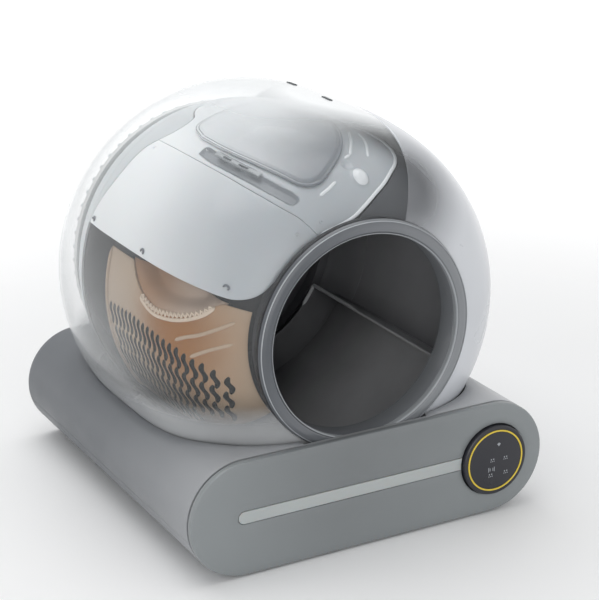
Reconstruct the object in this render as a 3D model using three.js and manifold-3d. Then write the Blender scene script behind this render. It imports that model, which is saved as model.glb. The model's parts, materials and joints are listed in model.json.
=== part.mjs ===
// Self cleaning litter box: a fixed globe on a low base, a turning drum inside the globe,
// a waste drawer under the drum. Millimetres, +Z up, the entry faces -Y, the drum turns about Y.

import * as THREE from 'three';
import { mergeVertices } from 'three/addons/utils/BufferGeometryUtils.js';
import Module from 'manifold-3d';

const wasm = await Module();
wasm.setup();

// Base: a low box with rounded ends, seen from the front
const baseWidth = 520;
const baseHeightShare = 0.3;
const baseFrontLip = 16.5;
const baseRearDrop = 6.3;
const footProud = 2.5;
const baseWall = 3.2;
const splitZ = 58;
const frontPanelThickness = 10;
const frontPanelGroove = 2.3;
const frontPanelBevel = 2.5;
const endPlateThickness = 3.2;

// Globe: bulged in front of its widest place by one power, behind it by another
const globeOverhang = 2;
const globeFrontBulge = 24;
const globeRearFlat = 12;
const globeWidestY = 31;
const globeRearCut = 3.2;
const globeNestShare = 0.5336;
const frontPower = 3.6;
const rearPower = 2.83;
const globeWall = 3;
const seatOverCollar = 4.8;
const globeSeamDeg = 23;

// Entry
const entryShare = 0.5705;
const tubeWall = 3.3;
const collarWidth = 18.5;
const collarProud = 9;
const collarBandLength = 16;
const gasketThickness = 1.6;
const gasketDepth = 9;

// Drum
const globeDrumGap = 28;
const frontReachGap = 11;
const rearReachGap = 18;
const drumWall = 3;
const neckWall = 3.8;
const rearShellShare = 0.4181;
const stepShare = 0.6767;
const stepDrop = 44;
const stepLength = 24;
const hoodLowDeg = -69;
const hoodRightDeg = 31;
const windowLowDeg = -140;
const bearingThickness = 1.9;
const bearingLength = 12;

// Ring gear, pinion, track and rollers
const gearRim = 10;
const ringTeeth = 64;
const pinionTeeth = 12;
const gearWidth = 8;
const pinionDeg = 20;
const trackHeight = 17;
const trackInset = 6;
const trackWidth = 9;
const rollerRadius = 14;
const rollerDeg = 35;
const rollerAxleRadius = 3;

// Sieve, liner and waste chamber
const sieveInset = 12;
const sieveThickness = 2.6;
const sieveFrontInset = 38;
const sieveRearRun = 21;
const sieveRibInset = 30;
const sieveTopDeg = -72;
const sieveLowDeg = -128;
const linerThickness = 3;
const linerRimInset = 69;
const linerRearInset = 38;
const linerStartDeg = 118;
const linerEndDeg = 228;
const chamberWallThickness = 2.6;
const chamberLowDeg = -66;
const chamberLowInset = 44;
const chamberHighDeg = 26;
const chamberRearInset = 44;
const chamberFrontInset = 1;

// Drawer
const binSideRoom = 135;
const binWall = 2.4;
const binTopDrop = 44;
const binRearRun = 31;
const binCorner = 14;
const railThickness = 2.7;
const railHeight = 18;
const stripInset = 65.7;
const stripDrop = 6.25;
const stripHeight = 16.5;
const stripDepth = 4;

// Control pod
const podInset = 76.8;
const podDrop = 1.45;
const podRadius = 49.5;
const podProud = 6.3;
const podDepth = 34;
const podRingInset = 7.6;
const podRingWidth = 2.2;
const podGlassThickness = 2.4;
const boardThickness = 1.6;

// Feet and load cells
const footInsetX = 95;
const footBulkheadRoom = 12;
const footPadRadius = 16;
const footStemRadius = 5;
const cellLength = 54;
const cellWidth = 14;
const cellHeight = 9;

// Clearances
const seamGap = 0.4;
const seatGap = 0.3;
const runGap = 0.35;
const slideGap = 1.2;
const bearingGap = 0.5;
const gearBacklash = 1.2;
const linerGap = 1;
const binDrumGap = 6.5;
const bulkheadDrumGap = 5;
const doorGap = 0.8;
const cutOverrun = 5;
const weldDistance = 1e-4;

// Counts of facets
const turnSteps = 44;
const podSteps = 22;
const screenSteps = 32;
const frontProfileSteps = 5;
const rearProfileSteps = 4;
const smallSteps = 14;
const tinySteps = 8;
const cornerSteps = 3;

// Worked out from the sizes above
const baseTopZ = baseWidth * baseHeightShare;
const globeRadius = baseWidth / 2 + globeOverhang;
const globeFrontReach = globeRadius + globeFrontBulge;
const globeRearReach = globeRadius - globeRearFlat;
const globeRearY = globeWidestY + globeRearReach - globeRearCut;
const baseFrontY = globeWidestY - globeFrontReach - baseFrontLip;
const baseRearY = globeRearY - baseRearDrop;
const drumRadius = globeRadius - globeDrumGap;
const drumFrontReach = globeFrontReach - frontReachGap;
const drumRearReach = globeRearReach - rearReachGap;
const rearShellY = globeWidestY + drumRearReach * rearShellShare;
const stepY = globeWidestY + drumRearReach * stepShare;
const stepRadius = drumRadius - stepDrop;
const drumRearY = stepY + stepLength;
const entryRadius = drumRadius * entryShare;
const sieveFrontY = globeWidestY - drumFrontReach + sieveFrontInset;
const sieveRearY = globeWidestY + sieveRearRun;
const sieveFrontRibY = sieveFrontY + sieveRibInset;
const linerRimRadius = drumRadius - linerRimInset;
const linerRearY = stepY - linerRearInset;
const chamberLowRadius = drumRadius - chamberLowInset;
const chamberRearY = rearShellY - chamberRearInset;
const chamberFrontY = sieveFrontY + chamberFrontInset;
const binHalfWidth = baseWidth / 2 - binSideRoom;
const binTopZ = baseTopZ - binTopDrop;
const binRearY = globeWidestY + binRearRun;
const stadiumRadius = (baseTopZ - footProud) / 2;
const stadiumZ = footProud + stadiumRadius;
const axisZ = baseTopZ + globeRadius * (1 - globeNestShare);
const trayFloorZ = footProud + baseWall;
const shellFrontY = baseFrontY + frontPanelThickness + frontPanelGroove;
const drawerFrontRearY = baseFrontY + frontPanelThickness;
const coverFrontY = baseRearY - endPlateThickness;
const collarRadius = entryRadius + collarWidth;
const globeCutZ = axisZ - collarRadius + seatOverCollar;
const collarFrontY = bulgeFrontY(globeRadius, globeFrontReach, collarRadius) - collarProud;
const tubeRadius = entryRadius + tubeWall;
const neckRadius = tubeRadius + bearingGap + bearingThickness + seatGap;
const drumFrontY = bulgeFrontY(drumRadius, drumFrontReach, neckRadius + neckWall);
const collarRearY = drumFrontY + bearingLength + cutOverrun;
const gearModule = (2 * (stepRadius + gearRim)) / ringTeeth;
const trackRadius = stepRadius + trackHeight;
const trackFrontY = stepY + trackInset;
const gearFrontY = trackFrontY + trackWidth + seatGap * 2;
const bulkheadFrontY = drumRearY + bulkheadDrumGap;
const binFloorZ = trayFloorZ + railThickness + seatGap * 2;
const podX = baseWidth / 2 - podInset;
const podZ = stadiumZ - podDrop;
const podRingRadius = podRadius - podRingInset;
const podBodyRadius = podRadius - podRingWidth * 2;
const stripLeftX = stripInset - baseWidth / 2;
const stripLowZ = stadiumZ - stripDrop;
const footX = baseWidth / 2 - footInsetX;
const footY = bulkheadFrontY - footBulkheadRoom;
const farOut = globeRadius * 3;

const radians = (degrees) => THREE.MathUtils.degToRad(degrees);

// Where a bulged profile in front of the widest place has a given radius.
function bulgeFrontY(fullRadius, frontReach, radius) {
  const share = Math.pow(1 - Math.pow(radius / fullRadius, frontPower), 1 / frontPower);
  return globeWidestY - frontReach * share;
}

// Solids

function toSolid(geometry) {
  let merged = geometry.clone();
  for (const name of Object.keys(merged.attributes)) {
    if (name !== 'position') merged.deleteAttribute(name);
  }
  merged = mergeVertices(merged, weldDistance);
  const position = merged.attributes.position;
  const vertProperties = new Float32Array(position.array);
  const source = merged.index.array;
  const kept = [];
  for (let i = 0; i < source.length; i += 3) {
    const [a, b, c] = [source[i], source[i + 1], source[i + 2]];
    if (a !== b && b !== c && c !== a) kept.push(a, b, c);
  }
  const build = (list) => new wasm.Manifold(new wasm.Mesh({
    numProp: 3, vertProperties, triVerts: new Uint32Array(list),
  }));
  const first = build(kept);
  if (first.volume() > 0) return first;
  const flipped = [];
  for (let i = 0; i < kept.length; i += 3) flipped.push(kept[i], kept[i + 2], kept[i + 1]);
  return build(flipped);
}

function toGeometry(solid) {
  const mesh = solid.getMesh();
  const geometry = new THREE.BufferGeometry();
  const points = new Float32Array((mesh.vertProperties.length / mesh.numProp) * 3);
  for (let i = 0; i < points.length / 3; i += 1) {
    for (let k = 0; k < 3; k += 1) points[i * 3 + k] = mesh.vertProperties[i * mesh.numProp + k];
  }
  geometry.setAttribute('position', new THREE.BufferAttribute(points, 3));
  geometry.setIndex(new THREE.BufferAttribute(new Uint32Array(mesh.triVerts), 1));
  geometry.computeVertexNormals();
  return geometry;
}

const joinAll = (solids) => solids.reduce((sum, next) => sum.add(next));

function outline(points) {
  return new THREE.Shape(points.map(([x, y]) => new THREE.Vector2(x, y)));
}

// A shape drawn in x and z, pushed along Y from y0 to y1.
function prismY(shape, y0, y1, steps = smallSteps) {
  const geometry = new THREE.ExtrudeGeometry(shape, {
    depth: y1 - y0, bevelEnabled: false, curveSegments: steps,
  });
  geometry.rotateX(Math.PI / 2);
  geometry.translate(0, y1, 0);
  return toSolid(geometry);
}

// A shape drawn in x and y, pushed along Z from z0 to z1.
function prismZ(shape, z0, z1, steps = smallSteps) {
  const geometry = new THREE.ExtrudeGeometry(shape, {
    depth: z1 - z0, bevelEnabled: false, curveSegments: steps,
  });
  geometry.translate(0, 0, z0);
  return toSolid(geometry);
}

function block(x0, x1, y0, y1, z0, z1) {
  const geometry = new THREE.BoxGeometry(x1 - x0, y1 - y0, z1 - z0);
  geometry.translate((x0 + x1) / 2, (y0 + y1) / 2, (z0 + z1) / 2);
  return toSolid(geometry);
}

function rodY(x, z, radius, y0, y1, steps = smallSteps) {
  const geometry = new THREE.CylinderGeometry(radius, radius, y1 - y0, steps);
  geometry.translate(x, (y0 + y1) / 2, z);
  return toSolid(geometry);
}

function rodZ(x, y, radius, z0, z1, steps = smallSteps) {
  const geometry = new THREE.CylinderGeometry(radius, radius, z1 - z0, steps);
  geometry.rotateX(Math.PI / 2);
  geometry.translate(x, y, (z0 + z1) / 2);
  return toSolid(geometry);
}

// A closed profile of [radius, y] points turned about the drum axis.
function turned(profile, steps = turnSteps) {
  const points = [...profile, profile[0]].map(([r, y]) => new THREE.Vector2(r, y));
  const geometry = new THREE.LatheGeometry(points, steps);
  geometry.translate(0, 0, axisZ);
  return toSolid(geometry);
}

function roundedRect(x0, x1, y0, y1, radius) {
  const shape = new THREE.Shape();
  shape.moveTo(x0 + radius, y0);
  shape.lineTo(x1 - radius, y0);
  shape.absarc(x1 - radius, y0 + radius, radius, -Math.PI / 2, 0, false);
  shape.lineTo(x1, y1 - radius);
  shape.absarc(x1 - radius, y1 - radius, radius, 0, Math.PI / 2, false);
  shape.lineTo(x0 + radius, y1);
  shape.absarc(x0 + radius, y1 - radius, radius, Math.PI / 2, Math.PI, false);
  shape.lineTo(x0, y0 + radius);
  shape.absarc(x0 + radius, y0 + radius, radius, Math.PI, Math.PI * 1.5, false);
  return shape;
}

// The rounded-end outline of the base, drawn in x and z, shrunk by inset all round.
function stadium(inset) {
  const radius = stadiumRadius - inset;
  const halfRun = baseWidth / 2 - stadiumRadius;
  const shape = new THREE.Shape();
  shape.moveTo(-halfRun, stadiumZ - radius);
  shape.lineTo(halfRun, stadiumZ - radius);
  shape.absarc(halfRun, stadiumZ, radius, -Math.PI / 2, Math.PI / 2, false);
  shape.lineTo(-halfRun, stadiumZ + radius);
  shape.absarc(-halfRun, stadiumZ, radius, Math.PI / 2, Math.PI * 1.5, false);
  return shape;
}

// Places round the drum: 0 degrees is the top, positive towards +X.
const roundX = (degrees, radius) => radius * Math.sin(radians(degrees));
const roundZ = (degrees, radius) => axisZ + radius * Math.cos(radians(degrees));

const wedgeStepDeg = 60;

// A wedge between two angles that holds everything out to the globe and beyond.
function wedge(startDeg, endDeg) {
  const steps = Math.ceil((endDeg - startDeg) / wedgeStepDeg);
  const points = [[0, axisZ]];
  for (let i = 0; i <= steps; i += 1) {
    const degrees = startDeg + ((endDeg - startDeg) * i) / steps;
    points.push([roundX(degrees, farOut), roundZ(degrees, farOut)]);
  }
  return prismY(outline(points), -farOut, farOut);
}

// Bulged profile of the globe or the drum: radius against y, from the front end to the rear end.
function bulge(radius, frontReach, rearReach, frontY, rearY) {
  const frontShare = Math.min(1, (globeWidestY - frontY) / frontReach);
  const rearShare = Math.min(1, (rearY - globeWidestY) / rearReach);
  const frontAngle = Math.acos(Math.pow(frontShare, frontPower / 2));
  const rearAngle = Math.acos(Math.pow(rearShare, rearPower / 2));
  const points = [];
  for (let i = 0; i < frontProfileSteps; i += 1) {
    const t = frontAngle + ((Math.PI / 2 - frontAngle) * i) / frontProfileSteps;
    points.push([
      radius * Math.pow(Math.sin(t), 2 / frontPower),
      globeWidestY - frontReach * Math.pow(Math.cos(t), 2 / frontPower),
    ]);
  }
  for (let i = 0; i <= rearProfileSteps; i += 1) {
    const t = Math.PI / 2 - ((Math.PI / 2 - rearAngle) * i) / rearProfileSteps;
    points.push([
      radius * Math.pow(Math.sin(t), 2 / rearPower),
      globeWidestY + rearReach * Math.pow(Math.cos(t), 2 / rearPower),
    ]);
  }
  return points;
}

// The drum's outer radius at y, grown by offset as its layers are.
function drumRadiusAt(y, offset = 0) {
  const front = y < globeWidestY;
  const share = Math.abs(y - globeWidestY) / ((front ? drumFrontReach : drumRearReach) + offset);
  const power = front ? frontPower : rearPower;
  return (drumRadius + offset) * Math.pow(1 - Math.pow(share, power), 1 / power);
}

function globeBody(offset) {
  const rearY = globeRearY + offset;
  const points = bulge(globeRadius + offset, globeFrontReach + offset, globeRearReach + offset,
    collarFrontY + globeWall, rearY);
  return turned([[0, points[0][1]], ...points, [0, rearY]]);
}

// The drum's outline grown by offset, from its mouth to the step behind the widest part.
function drumProfile(offset) {
  return bulge(drumRadius + offset, drumFrontReach + offset, drumRearReach + offset, drumFrontY, stepY);
}

function drumBody(offset) {
  const points = drumProfile(offset);
  return turned([[0, drumFrontY], ...points, [0, stepY]]);
}

// The drum's skin between two offsets, cut square at both ends.
function drumLayer(outerOffset, innerOffset, steps = turnSteps) {
  return turned([...drumProfile(outerOffset), ...drumProfile(innerOffset).reverse()], steps);
}

const between = (y0, y1) => block(-farOut, farOut, y0, y1, -farOut, farOut);

// A place along the drum as a share of its reach: negative in front of the widest place.
const alongDrum = (share) => globeWidestY + share * (share < 0 ? drumFrontReach : drumRearReach);

// An outline of [degrees round, share along] on the drum, pushed straight out along one direction.
function patchCutter(outlineShares, middleDeg, grow) {
  const flat = outlineShares.map(([degrees, share]) => {
    const y = alongDrum(share);
    const radius = drumRadiusAt(Math.max(y, drumFrontY));
    return new THREE.Vector2(radius * Math.sin(radians(degrees - middleDeg)), y);
  });
  const corners = flat.map((p) => new THREE.Vector3(p.x, p.y, 0));
  const curve = new THREE.CatmullRomCurve3(corners, true, 'centripetal');
  const centre = flat.reduce((sum, p) => sum.add(p), new THREE.Vector2()).divideScalar(flat.length);
  const rounded = curve.getPoints(outlineShares.length * 2).slice(0, -1);
  const grown = rounded.map((p) => {
    const away = new THREE.Vector2(p.x, p.y).sub(centre);
    const length = away.length();
    away.multiplyScalar((length + grow) / length);
    return [centre.x + away.x, centre.y + away.y];
  });
  return standing(outline(grown), middleDeg, drumRadius / 3, farOut);
}

// A shape drawn in the tangent plane at one angle, pushed out between two distances from the axis.
function standing(shape, middleDeg, fromRadius, toRadius) {
  const geometry = new THREE.ExtrudeGeometry(shape, {
    depth: toRadius - fromRadius, bevelEnabled: false, curveSegments: cornerSteps,
  });
  geometry.translate(0, 0, fromRadius);
  geometry.rotateY(radians(middleDeg));
  geometry.translate(0, 0, axisZ);
  return toSolid(geometry);
}

// Materials

const plastic = (color, roughness, extra = {}) => new THREE.MeshStandardMaterial({
  color, roughness, metalness: 0, ...extra,
});
const metal = (color, roughness) => new THREE.MeshStandardMaterial({ color, roughness, metalness: 1 });

const part = new THREE.Group();

function place(name, solid, material, group = part) {
  const mesh = new THREE.Mesh(toGeometry(solid), material);
  mesh.name = name;
  group.add(mesh);
  return mesh;
}

// Base

const shellTube = prismY(stadium(0), shellFrontY, baseRearY)
  .subtract(prismY(stadium(baseWall), shellFrontY - cutOverrun, baseRearY + cutOverrun));

function footPlaces() {
  return [['front_left', -footX, -footY], ['front_right', footX, -footY],
    ['rear_left', -footX, footY], ['rear_right', footX, footY]];
}

function makeTray() {
  const below = block(-farOut, farOut, -farOut, farOut, -cutOverrun, splitZ);
  const holeRadius = footStemRadius + slideGap;
  const holes = footPlaces().map(([, x, y]) => rodZ(x, y, holeRadius, -cutOverrun, trayFloorZ + cutOverrun));
  return shellTube.intersect(below).subtract(joinAll(holes));
}

function makeDeck() {
  const above = block(-farOut, farOut, -farOut, farOut, splitZ + seamGap, farOut);
  return shellTube.intersect(above)
    .subtract(globeBody(seamGap))
    .subtract(rodY(0, axisZ, collarRadius + seamGap, collarFrontY - seamGap, 0, turnSteps));
}

const plateInset = baseWall + seamGap;

function makeFrontFrame() {
  const frameRearY = shellFrontY + endPlateThickness;
  const [cutFrontY, cutRearY] = [shellFrontY - cutOverrun, frameRearY + cutOverrun];
  const halfOpening = binHalfWidth + slideGap * 2;
  const opening = roundedRect(-halfOpening, halfOpening, trayFloorZ + slideGap, binTopZ + slideGap * 2,
    endPlateThickness);
  return prismY(stadium(plateInset), shellFrontY, frameRearY, tinySteps)
    .subtract(prismY(opening, cutFrontY, cutRearY, cornerSteps))
    .subtract(rodY(podX, podZ, podBodyRadius + seatGap, cutFrontY, cutRearY, podSteps));
}

const ventWidth = 4;
const ventHeight = 46;
const ventPitch = 11;
const ventCount = 9;
const inletInset = 110;
const inletX = baseWidth / 2 - inletInset;
const inletRadius = 6;
const screwInset = 64;
const screwEdge = 38;
const screwX = baseWidth / 2 - screwInset;
const screwZs = [screwEdge, baseTopZ - screwEdge];
const screwRadius = 2;
const screwHeadRadius = 4;
const screwHeadThickness = 2;

function screwPlaces() {
  return [-screwX, screwX].flatMap((x) => screwZs.map((z) => [x, z]));
}

function makeRearCover() {
  const [cutFrontY, cutRearY] = [coverFrontY - cutOverrun, baseRearY + cutOverrun];
  const cuts = [rodY(inletX, stadiumZ, inletRadius + seatGap, cutFrontY, cutRearY)];
  for (let i = 0; i < ventCount; i += 1) {
    const x = -screwX / 2 + (i - (ventCount - 1) / 2) * ventPitch;
    cuts.push(block(x - ventWidth / 2, x + ventWidth / 2, cutFrontY, cutRearY,
      stadiumZ - ventHeight / 2, stadiumZ + ventHeight / 2));
  }
  for (const [x, z] of screwPlaces()) {
    cuts.push(rodY(x, z, screwRadius + seatGap, cutFrontY, cutRearY, tinySteps));
  }
  return prismY(stadium(plateInset), coverFrontY, baseRearY, tinySteps).subtract(joinAll(cuts));
}

function makeRearCoverScrew([x, z]) {
  const headY = baseRearY + seatGap;
  return rodY(x, z, screwRadius, coverFrontY - cutOverrun, headY + seatGap, tinySteps)
    .add(rodY(x, z, screwHeadRadius, headY, headY + screwHeadThickness, tinySteps));
}

const inletFlangeRadius = 9;
const inletFlangeThickness = 2;
const inletDepth = 16;
const inletBoreDepth = 11;
const inletBoreRadius = 3;
const inletPinRadius = 1;

function makePowerInlet() {
  const flangeY = baseRearY + seatGap;
  const bodyFrontY = baseRearY - inletDepth;
  const body = rodY(inletX, stadiumZ, inletRadius, bodyFrontY, flangeY + seatGap)
    .add(rodY(inletX, stadiumZ, inletFlangeRadius, flangeY, flangeY + inletFlangeThickness));
  const bore = rodY(inletX, stadiumZ, inletBoreRadius, baseRearY - inletBoreDepth, baseRearY + cutOverrun,
    tinySteps);
  const pinFrontY = baseRearY - inletBoreDepth - seatGap;
  const pin = rodY(inletX, stadiumZ, inletPinRadius, pinFrontY, baseRearY, tinySteps);
  return body.subtract(bore).add(pin);
}

const seatRingHeight = 9;
const seatRingOut = 5;
const seatRingIn = 7;

function makeSeatRing() {
  const topZ = globeCutZ - seatGap;
  const slice = block(-farOut, farOut, shellFrontY + endPlateThickness + seamGap, coverFrontY - seamGap,
    topZ - seatRingHeight, topZ);
  return globeBody(seatRingOut).subtract(globeBody(-seatRingIn)).intersect(slice)
    .intersect(prismY(stadium(baseWall + seatGap), -farOut, farOut))
    .subtract(rodY(0, axisZ, collarRadius + seatGap, -farOut, 0, turnSteps));
}

// Rear bulkhead: carries the rollers, the gearbox and the rear of the seat ring.
const bulkheadThickness = 3.2;
const bulkheadRearY = bulkheadFrontY + bulkheadThickness;
const pinionReach = (gearModule * (ringTeeth + pinionTeeth)) / 2;
const pinionX = -pinionReach * Math.sin(radians(pinionDeg));
const pinionZ = axisZ - pinionReach * Math.cos(radians(pinionDeg));
const rollerReach = trackRadius + rollerRadius + runGap;
const rollerX = rollerReach * Math.sin(radians(rollerDeg));
const rollerZ = axisZ - rollerReach * Math.cos(radians(rollerDeg));
const shaftRadius = 4;
const bulkheadTopZ = globeCutZ - seatRingHeight - seatGap * 2;

function makeRearBulkhead() {
  const [cutFrontY, cutRearY] = [bulkheadFrontY - cutOverrun, bulkheadRearY + cutOverrun];
  const keep = block(-farOut, farOut, bulkheadFrontY, bulkheadRearY, trayFloorZ + seatGap, bulkheadTopZ);
  const cuts = [rodY(pinionX, pinionZ, shaftRadius + runGap, cutFrontY, cutRearY)];
  for (const side of [-1, 1]) {
    cuts.push(rodY(side * rollerX, rollerZ, rollerAxleRadius + seatGap, cutFrontY, cutRearY, tinySteps));
  }
  return prismY(stadium(baseWall + seatGap), bulkheadFrontY, bulkheadRearY, tinySteps)
    .intersect(keep)
    .subtract(joinAll(cuts));
}

const axleHeadRadius = 5.5;
const axleHeadThickness = 2.4;

function makeRollerAxle(side) {
  const headY = bulkheadRearY + seatGap;
  return rodY(side * rollerX, rollerZ, rollerAxleRadius, trackFrontY - seatGap, headY + seatGap, tinySteps)
    .add(rodY(side * rollerX, rollerZ, axleHeadRadius, headY, headY + axleHeadThickness, tinySteps));
}

function makeRoller(side) {
  const trackRearY = trackFrontY + trackWidth;
  return rodY(side * rollerX, rollerZ, rollerRadius, trackFrontY + seatGap, trackRearY - seatGap)
    .subtract(rodY(side * rollerX, rollerZ, rollerAxleRadius + runGap, trackFrontY - cutOverrun,
      trackRearY + cutOverrun, tinySteps));
}

const gearboxRadius = 26;
const gearboxLength = 16;
const motorRadius = 18;
const motorRearRoom = 1.5;

function makeGearbox() {
  const y0 = bulkheadRearY + seatGap;
  const boreRearY = y0 + gearboxLength - bulkheadThickness * 2;
  return rodY(pinionX, pinionZ, gearboxRadius, y0, y0 + gearboxLength)
    .subtract(rodY(pinionX, pinionZ, shaftRadius + runGap, y0 - cutOverrun, boreRearY, tinySteps));
}

function makeMotor() {
  const y0 = bulkheadRearY + seatGap * 2 + gearboxLength;
  return rodY(pinionX, pinionZ, motorRadius, y0, coverFrontY - motorRearRoom);
}

// Places of a tooth's four corners as shares of the pitch, at its root and at its tip.
const rootShare = 0.33;
const tipShare = 0.11;
const ringDedendum = gearModule * 0.9;
const pinionDedendum = gearModule * 1.25;
const addendum = gearModule - gearBacklash;

// Spur gear outline with straight-sided teeth, drawn in x and z about a centre.
function gearOutline(teeth, x, z, startDeg, dedendum) {
  const pitchRadius = (gearModule * teeth) / 2;
  const toothDeg = 360 / teeth;
  const corners = [
    [-rootShare, -dedendum], [-tipShare, addendum], [tipShare, addendum], [rootShare, -dedendum],
  ];
  const points = [];
  for (let i = 0; i < teeth; i += 1) {
    for (const [share, depth] of corners) {
      const angle = radians(startDeg + (i + share) * toothDeg);
      points.push([x + (pitchRadius + depth) * Math.sin(angle), z + (pitchRadius + depth) * Math.cos(angle)]);
    }
  }
  return outline(points.reverse());
}

function makePinion() {
  const teeth = gearOutline(pinionTeeth, pinionX, pinionZ, pinionDeg, pinionDedendum);
  const shaftRearY = bulkheadRearY + gearboxLength / 2;
  return prismY(teeth, gearFrontY, gearFrontY + gearWidth)
    .add(rodY(pinionX, pinionZ, shaftRadius, gearFrontY, shaftRearY, tinySteps));
}

const sensorWidth = 14;
const sensorHeight = 18;
const sensorDepth = 2.4;
const magnetRadius = 4;
const magnetThickness = 1.2;
const magnetZ = axisZ - stepRadius + magnetRadius * 2;

function makeHomeSensor() {
  const rearY = bulkheadFrontY - seatGap;
  return block(-sensorWidth / 2, sensorWidth / 2, rearY - sensorDepth, rearY,
    magnetZ - magnetRadius - sensorHeight / 2, magnetZ - magnetRadius + sensorHeight / 2);
}

const mainBoardInset = 103;
const mainBoardX = baseWidth / 2 - mainBoardInset;
const mainBoardWidth = 46;
const mainBoardDepth = 110;
const standoffHeight = 6;
// Each chip's place across and along the board, its width, its length and its height, as shares of the board.
const chipShares = [[0.5, 0, 0.3, 0.2, 0.11], [0.3, 0.3, 0.2, 0.12, 0.26], [0.35, -0.3, 0.34, 0.14, 0.2]];

function makeMainBoard() {
  const z0 = trayFloorZ + seatGap;
  const x0 = mainBoardX - mainBoardWidth / 2;
  const board = block(x0, x0 + mainBoardWidth, -mainBoardDepth / 2, mainBoardDepth / 2,
    z0 + standoffHeight, z0 + standoffHeight + boardThickness);
  const posts = [];
  for (const x of [x0 + standoffHeight, x0 + mainBoardWidth / 2]) {
    for (const side of [-1, 1]) {
      posts.push(rodZ(x, side * (mainBoardDepth / 2 - standoffHeight), standoffHeight / 2, z0,
        z0 + standoffHeight + boardThickness / 2, tinySteps));
    }
  }
  const chips = chipShares.map(([acrossShare, alongShare, wideShare, deepShare, highShare]) => {
    const x = x0 + mainBoardWidth * acrossShare;
    const y = mainBoardDepth * alongShare;
    const wide = mainBoardWidth * wideShare;
    const deep = mainBoardDepth * deepShare;
    const chipZ = z0 + standoffHeight + boardThickness / 2;
    return block(x - wide / 2, x + wide / 2, y - deep / 2, y + deep / 2, chipZ,
      chipZ + boardThickness / 2 + mainBoardWidth * highShare);
  });
  return joinAll([board, ...posts, ...chips]);
}

// Feet and load cells

function makeFoot(x, y) {
  return rodZ(x, y, footPadRadius, 0, footProud - seatGap)
    .add(rodZ(x, y, footStemRadius, footProud / 2, trayFloorZ + seatGap));
}

function makeLoadCell(x, y) {
  const inward = y > 0 ? -1 : 1;
  const z0 = trayFloorZ + seatGap * 2;
  const ends = [y - inward * (cellWidth / 2), y + inward * (cellLength - cellWidth / 2)];
  const [y0, y1] = [Math.min(...ends), Math.max(...ends)];
  const bar = block(x - cellWidth / 2, x + cellWidth / 2, y0, y1, z0, z0 + cellHeight);
  const slot = block(x - cellWidth, x + cellWidth, y0 + cellLength / 3, y1 - cellLength / 3,
    z0 + cellHeight / 3, z0 + cellHeight - cellHeight / 3);
  return bar.subtract(slot);
}

// Globe

function globeShell() {
  const keep = block(-farOut, farOut, -farOut, farOut, globeCutZ, farOut);
  return globeBody(0).subtract(globeBody(-globeWall)).intersect(keep)
    .subtract(rodY(0, axisZ, collarRadius + seamGap, -farOut, 0, turnSteps));
}

const latchLength = 20;
const latchWidth = 4.5;
const latchHeight = 4;
const latchDeg = 13;
const latchRearY = 50;
const latchFrontY = -46;
const latchYs = [latchRearY, latchFrontY];

function latchPocket(y, grow) {
  const [halfWidth, halfLength] = [latchWidth / 2 + grow, latchLength / 2 + grow];
  const shape = roundedRect(-halfWidth, halfWidth, y - halfLength, y + halfLength, latchWidth / 2);
  return standing(shape, latchDeg, globeRadius - globeWall - latchHeight, farOut);
}

const fullGlobe = globeShell();

// The thin gap between the globe's halves: up along the seam, and down from the axis at the rear.
function seamSlit() {
  const slit = roundedRect(-seamGap / 2, seamGap / 2, -farOut, farOut, seamGap / 4);
  return standing(slit, globeSeamDeg, 0, farOut).add(standing(slit, 180, 0, farOut));
}

function makeLeftGlobe() {
  const pockets = latchYs.map((y) => latchPocket(y, seatGap));
  return fullGlobe.intersect(wedge(-180, globeSeamDeg)).subtract(seamSlit()).subtract(joinAll(pockets));
}

function makeRightGlobe() {
  return fullGlobe.intersect(wedge(globeSeamDeg, 180)).subtract(seamSlit());
}

function makeSeamLatch(y) {
  const layer = globeBody(-seatGap).subtract(globeBody(-globeWall - latchHeight / 2));
  return latchPocket(y, 0).intersect(layer);
}

// Entry collar: a rounded band outside the globe and a tube that reaches into the drum's mouth.
const collarRound = 7.5;
const collarFace = 9;
const collarBandWall = 5;
const collarRoundSteps = 3;

function makeCollar() {
  const bandRearY = collarFrontY + collarBandLength;
  const bandInnerRadius = collarRadius - collarBandWall;
  const seatRadius = entryRadius + gasketThickness + seatGap;
  const profile = [
    [entryRadius, collarRearY],
    [entryRadius, collarFrontY + gasketDepth],
    [seatRadius, collarFrontY + gasketDepth],
    [seatRadius, collarFrontY + gasketThickness],
    [seatRadius + gasketThickness, collarFrontY],
  ];
  for (let i = 0; i <= collarRoundSteps; i += 1) {
    const angle = (Math.PI / 2) * (i / collarRoundSteps);
    profile.push([
      collarRadius - collarRound * (1 - Math.sin(angle)),
      collarFrontY + collarRound * (1 - Math.cos(angle)),
    ]);
  }
  profile.push(
    [collarRadius, bandRearY],
    [bandInnerRadius, bandRearY],
    [bandInnerRadius, collarFrontY + collarFace],
    [tubeRadius, collarFrontY + collarFace],
    [tubeRadius, collarRearY],
  );
  return turned(profile);
}

function makeGasket() {
  return turned([
    [entryRadius, collarFrontY + gasketDepth - seatGap],
    [entryRadius, collarFrontY + gasketThickness],
    [entryRadius + gasketThickness, collarFrontY],
    [entryRadius + gasketThickness, collarFrontY + gasketDepth - seatGap],
  ]);
}

// Drum skin

// The neck at the front end holds the bearing ring that runs on the entry tube.
const neckBore = (gap) => rodY(0, axisZ, neckRadius + gap, -farOut, collarRearY, turnSteps);
const drumSkin = drumLayer(0, -drumWall).subtract(neckBore(0));

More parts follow.
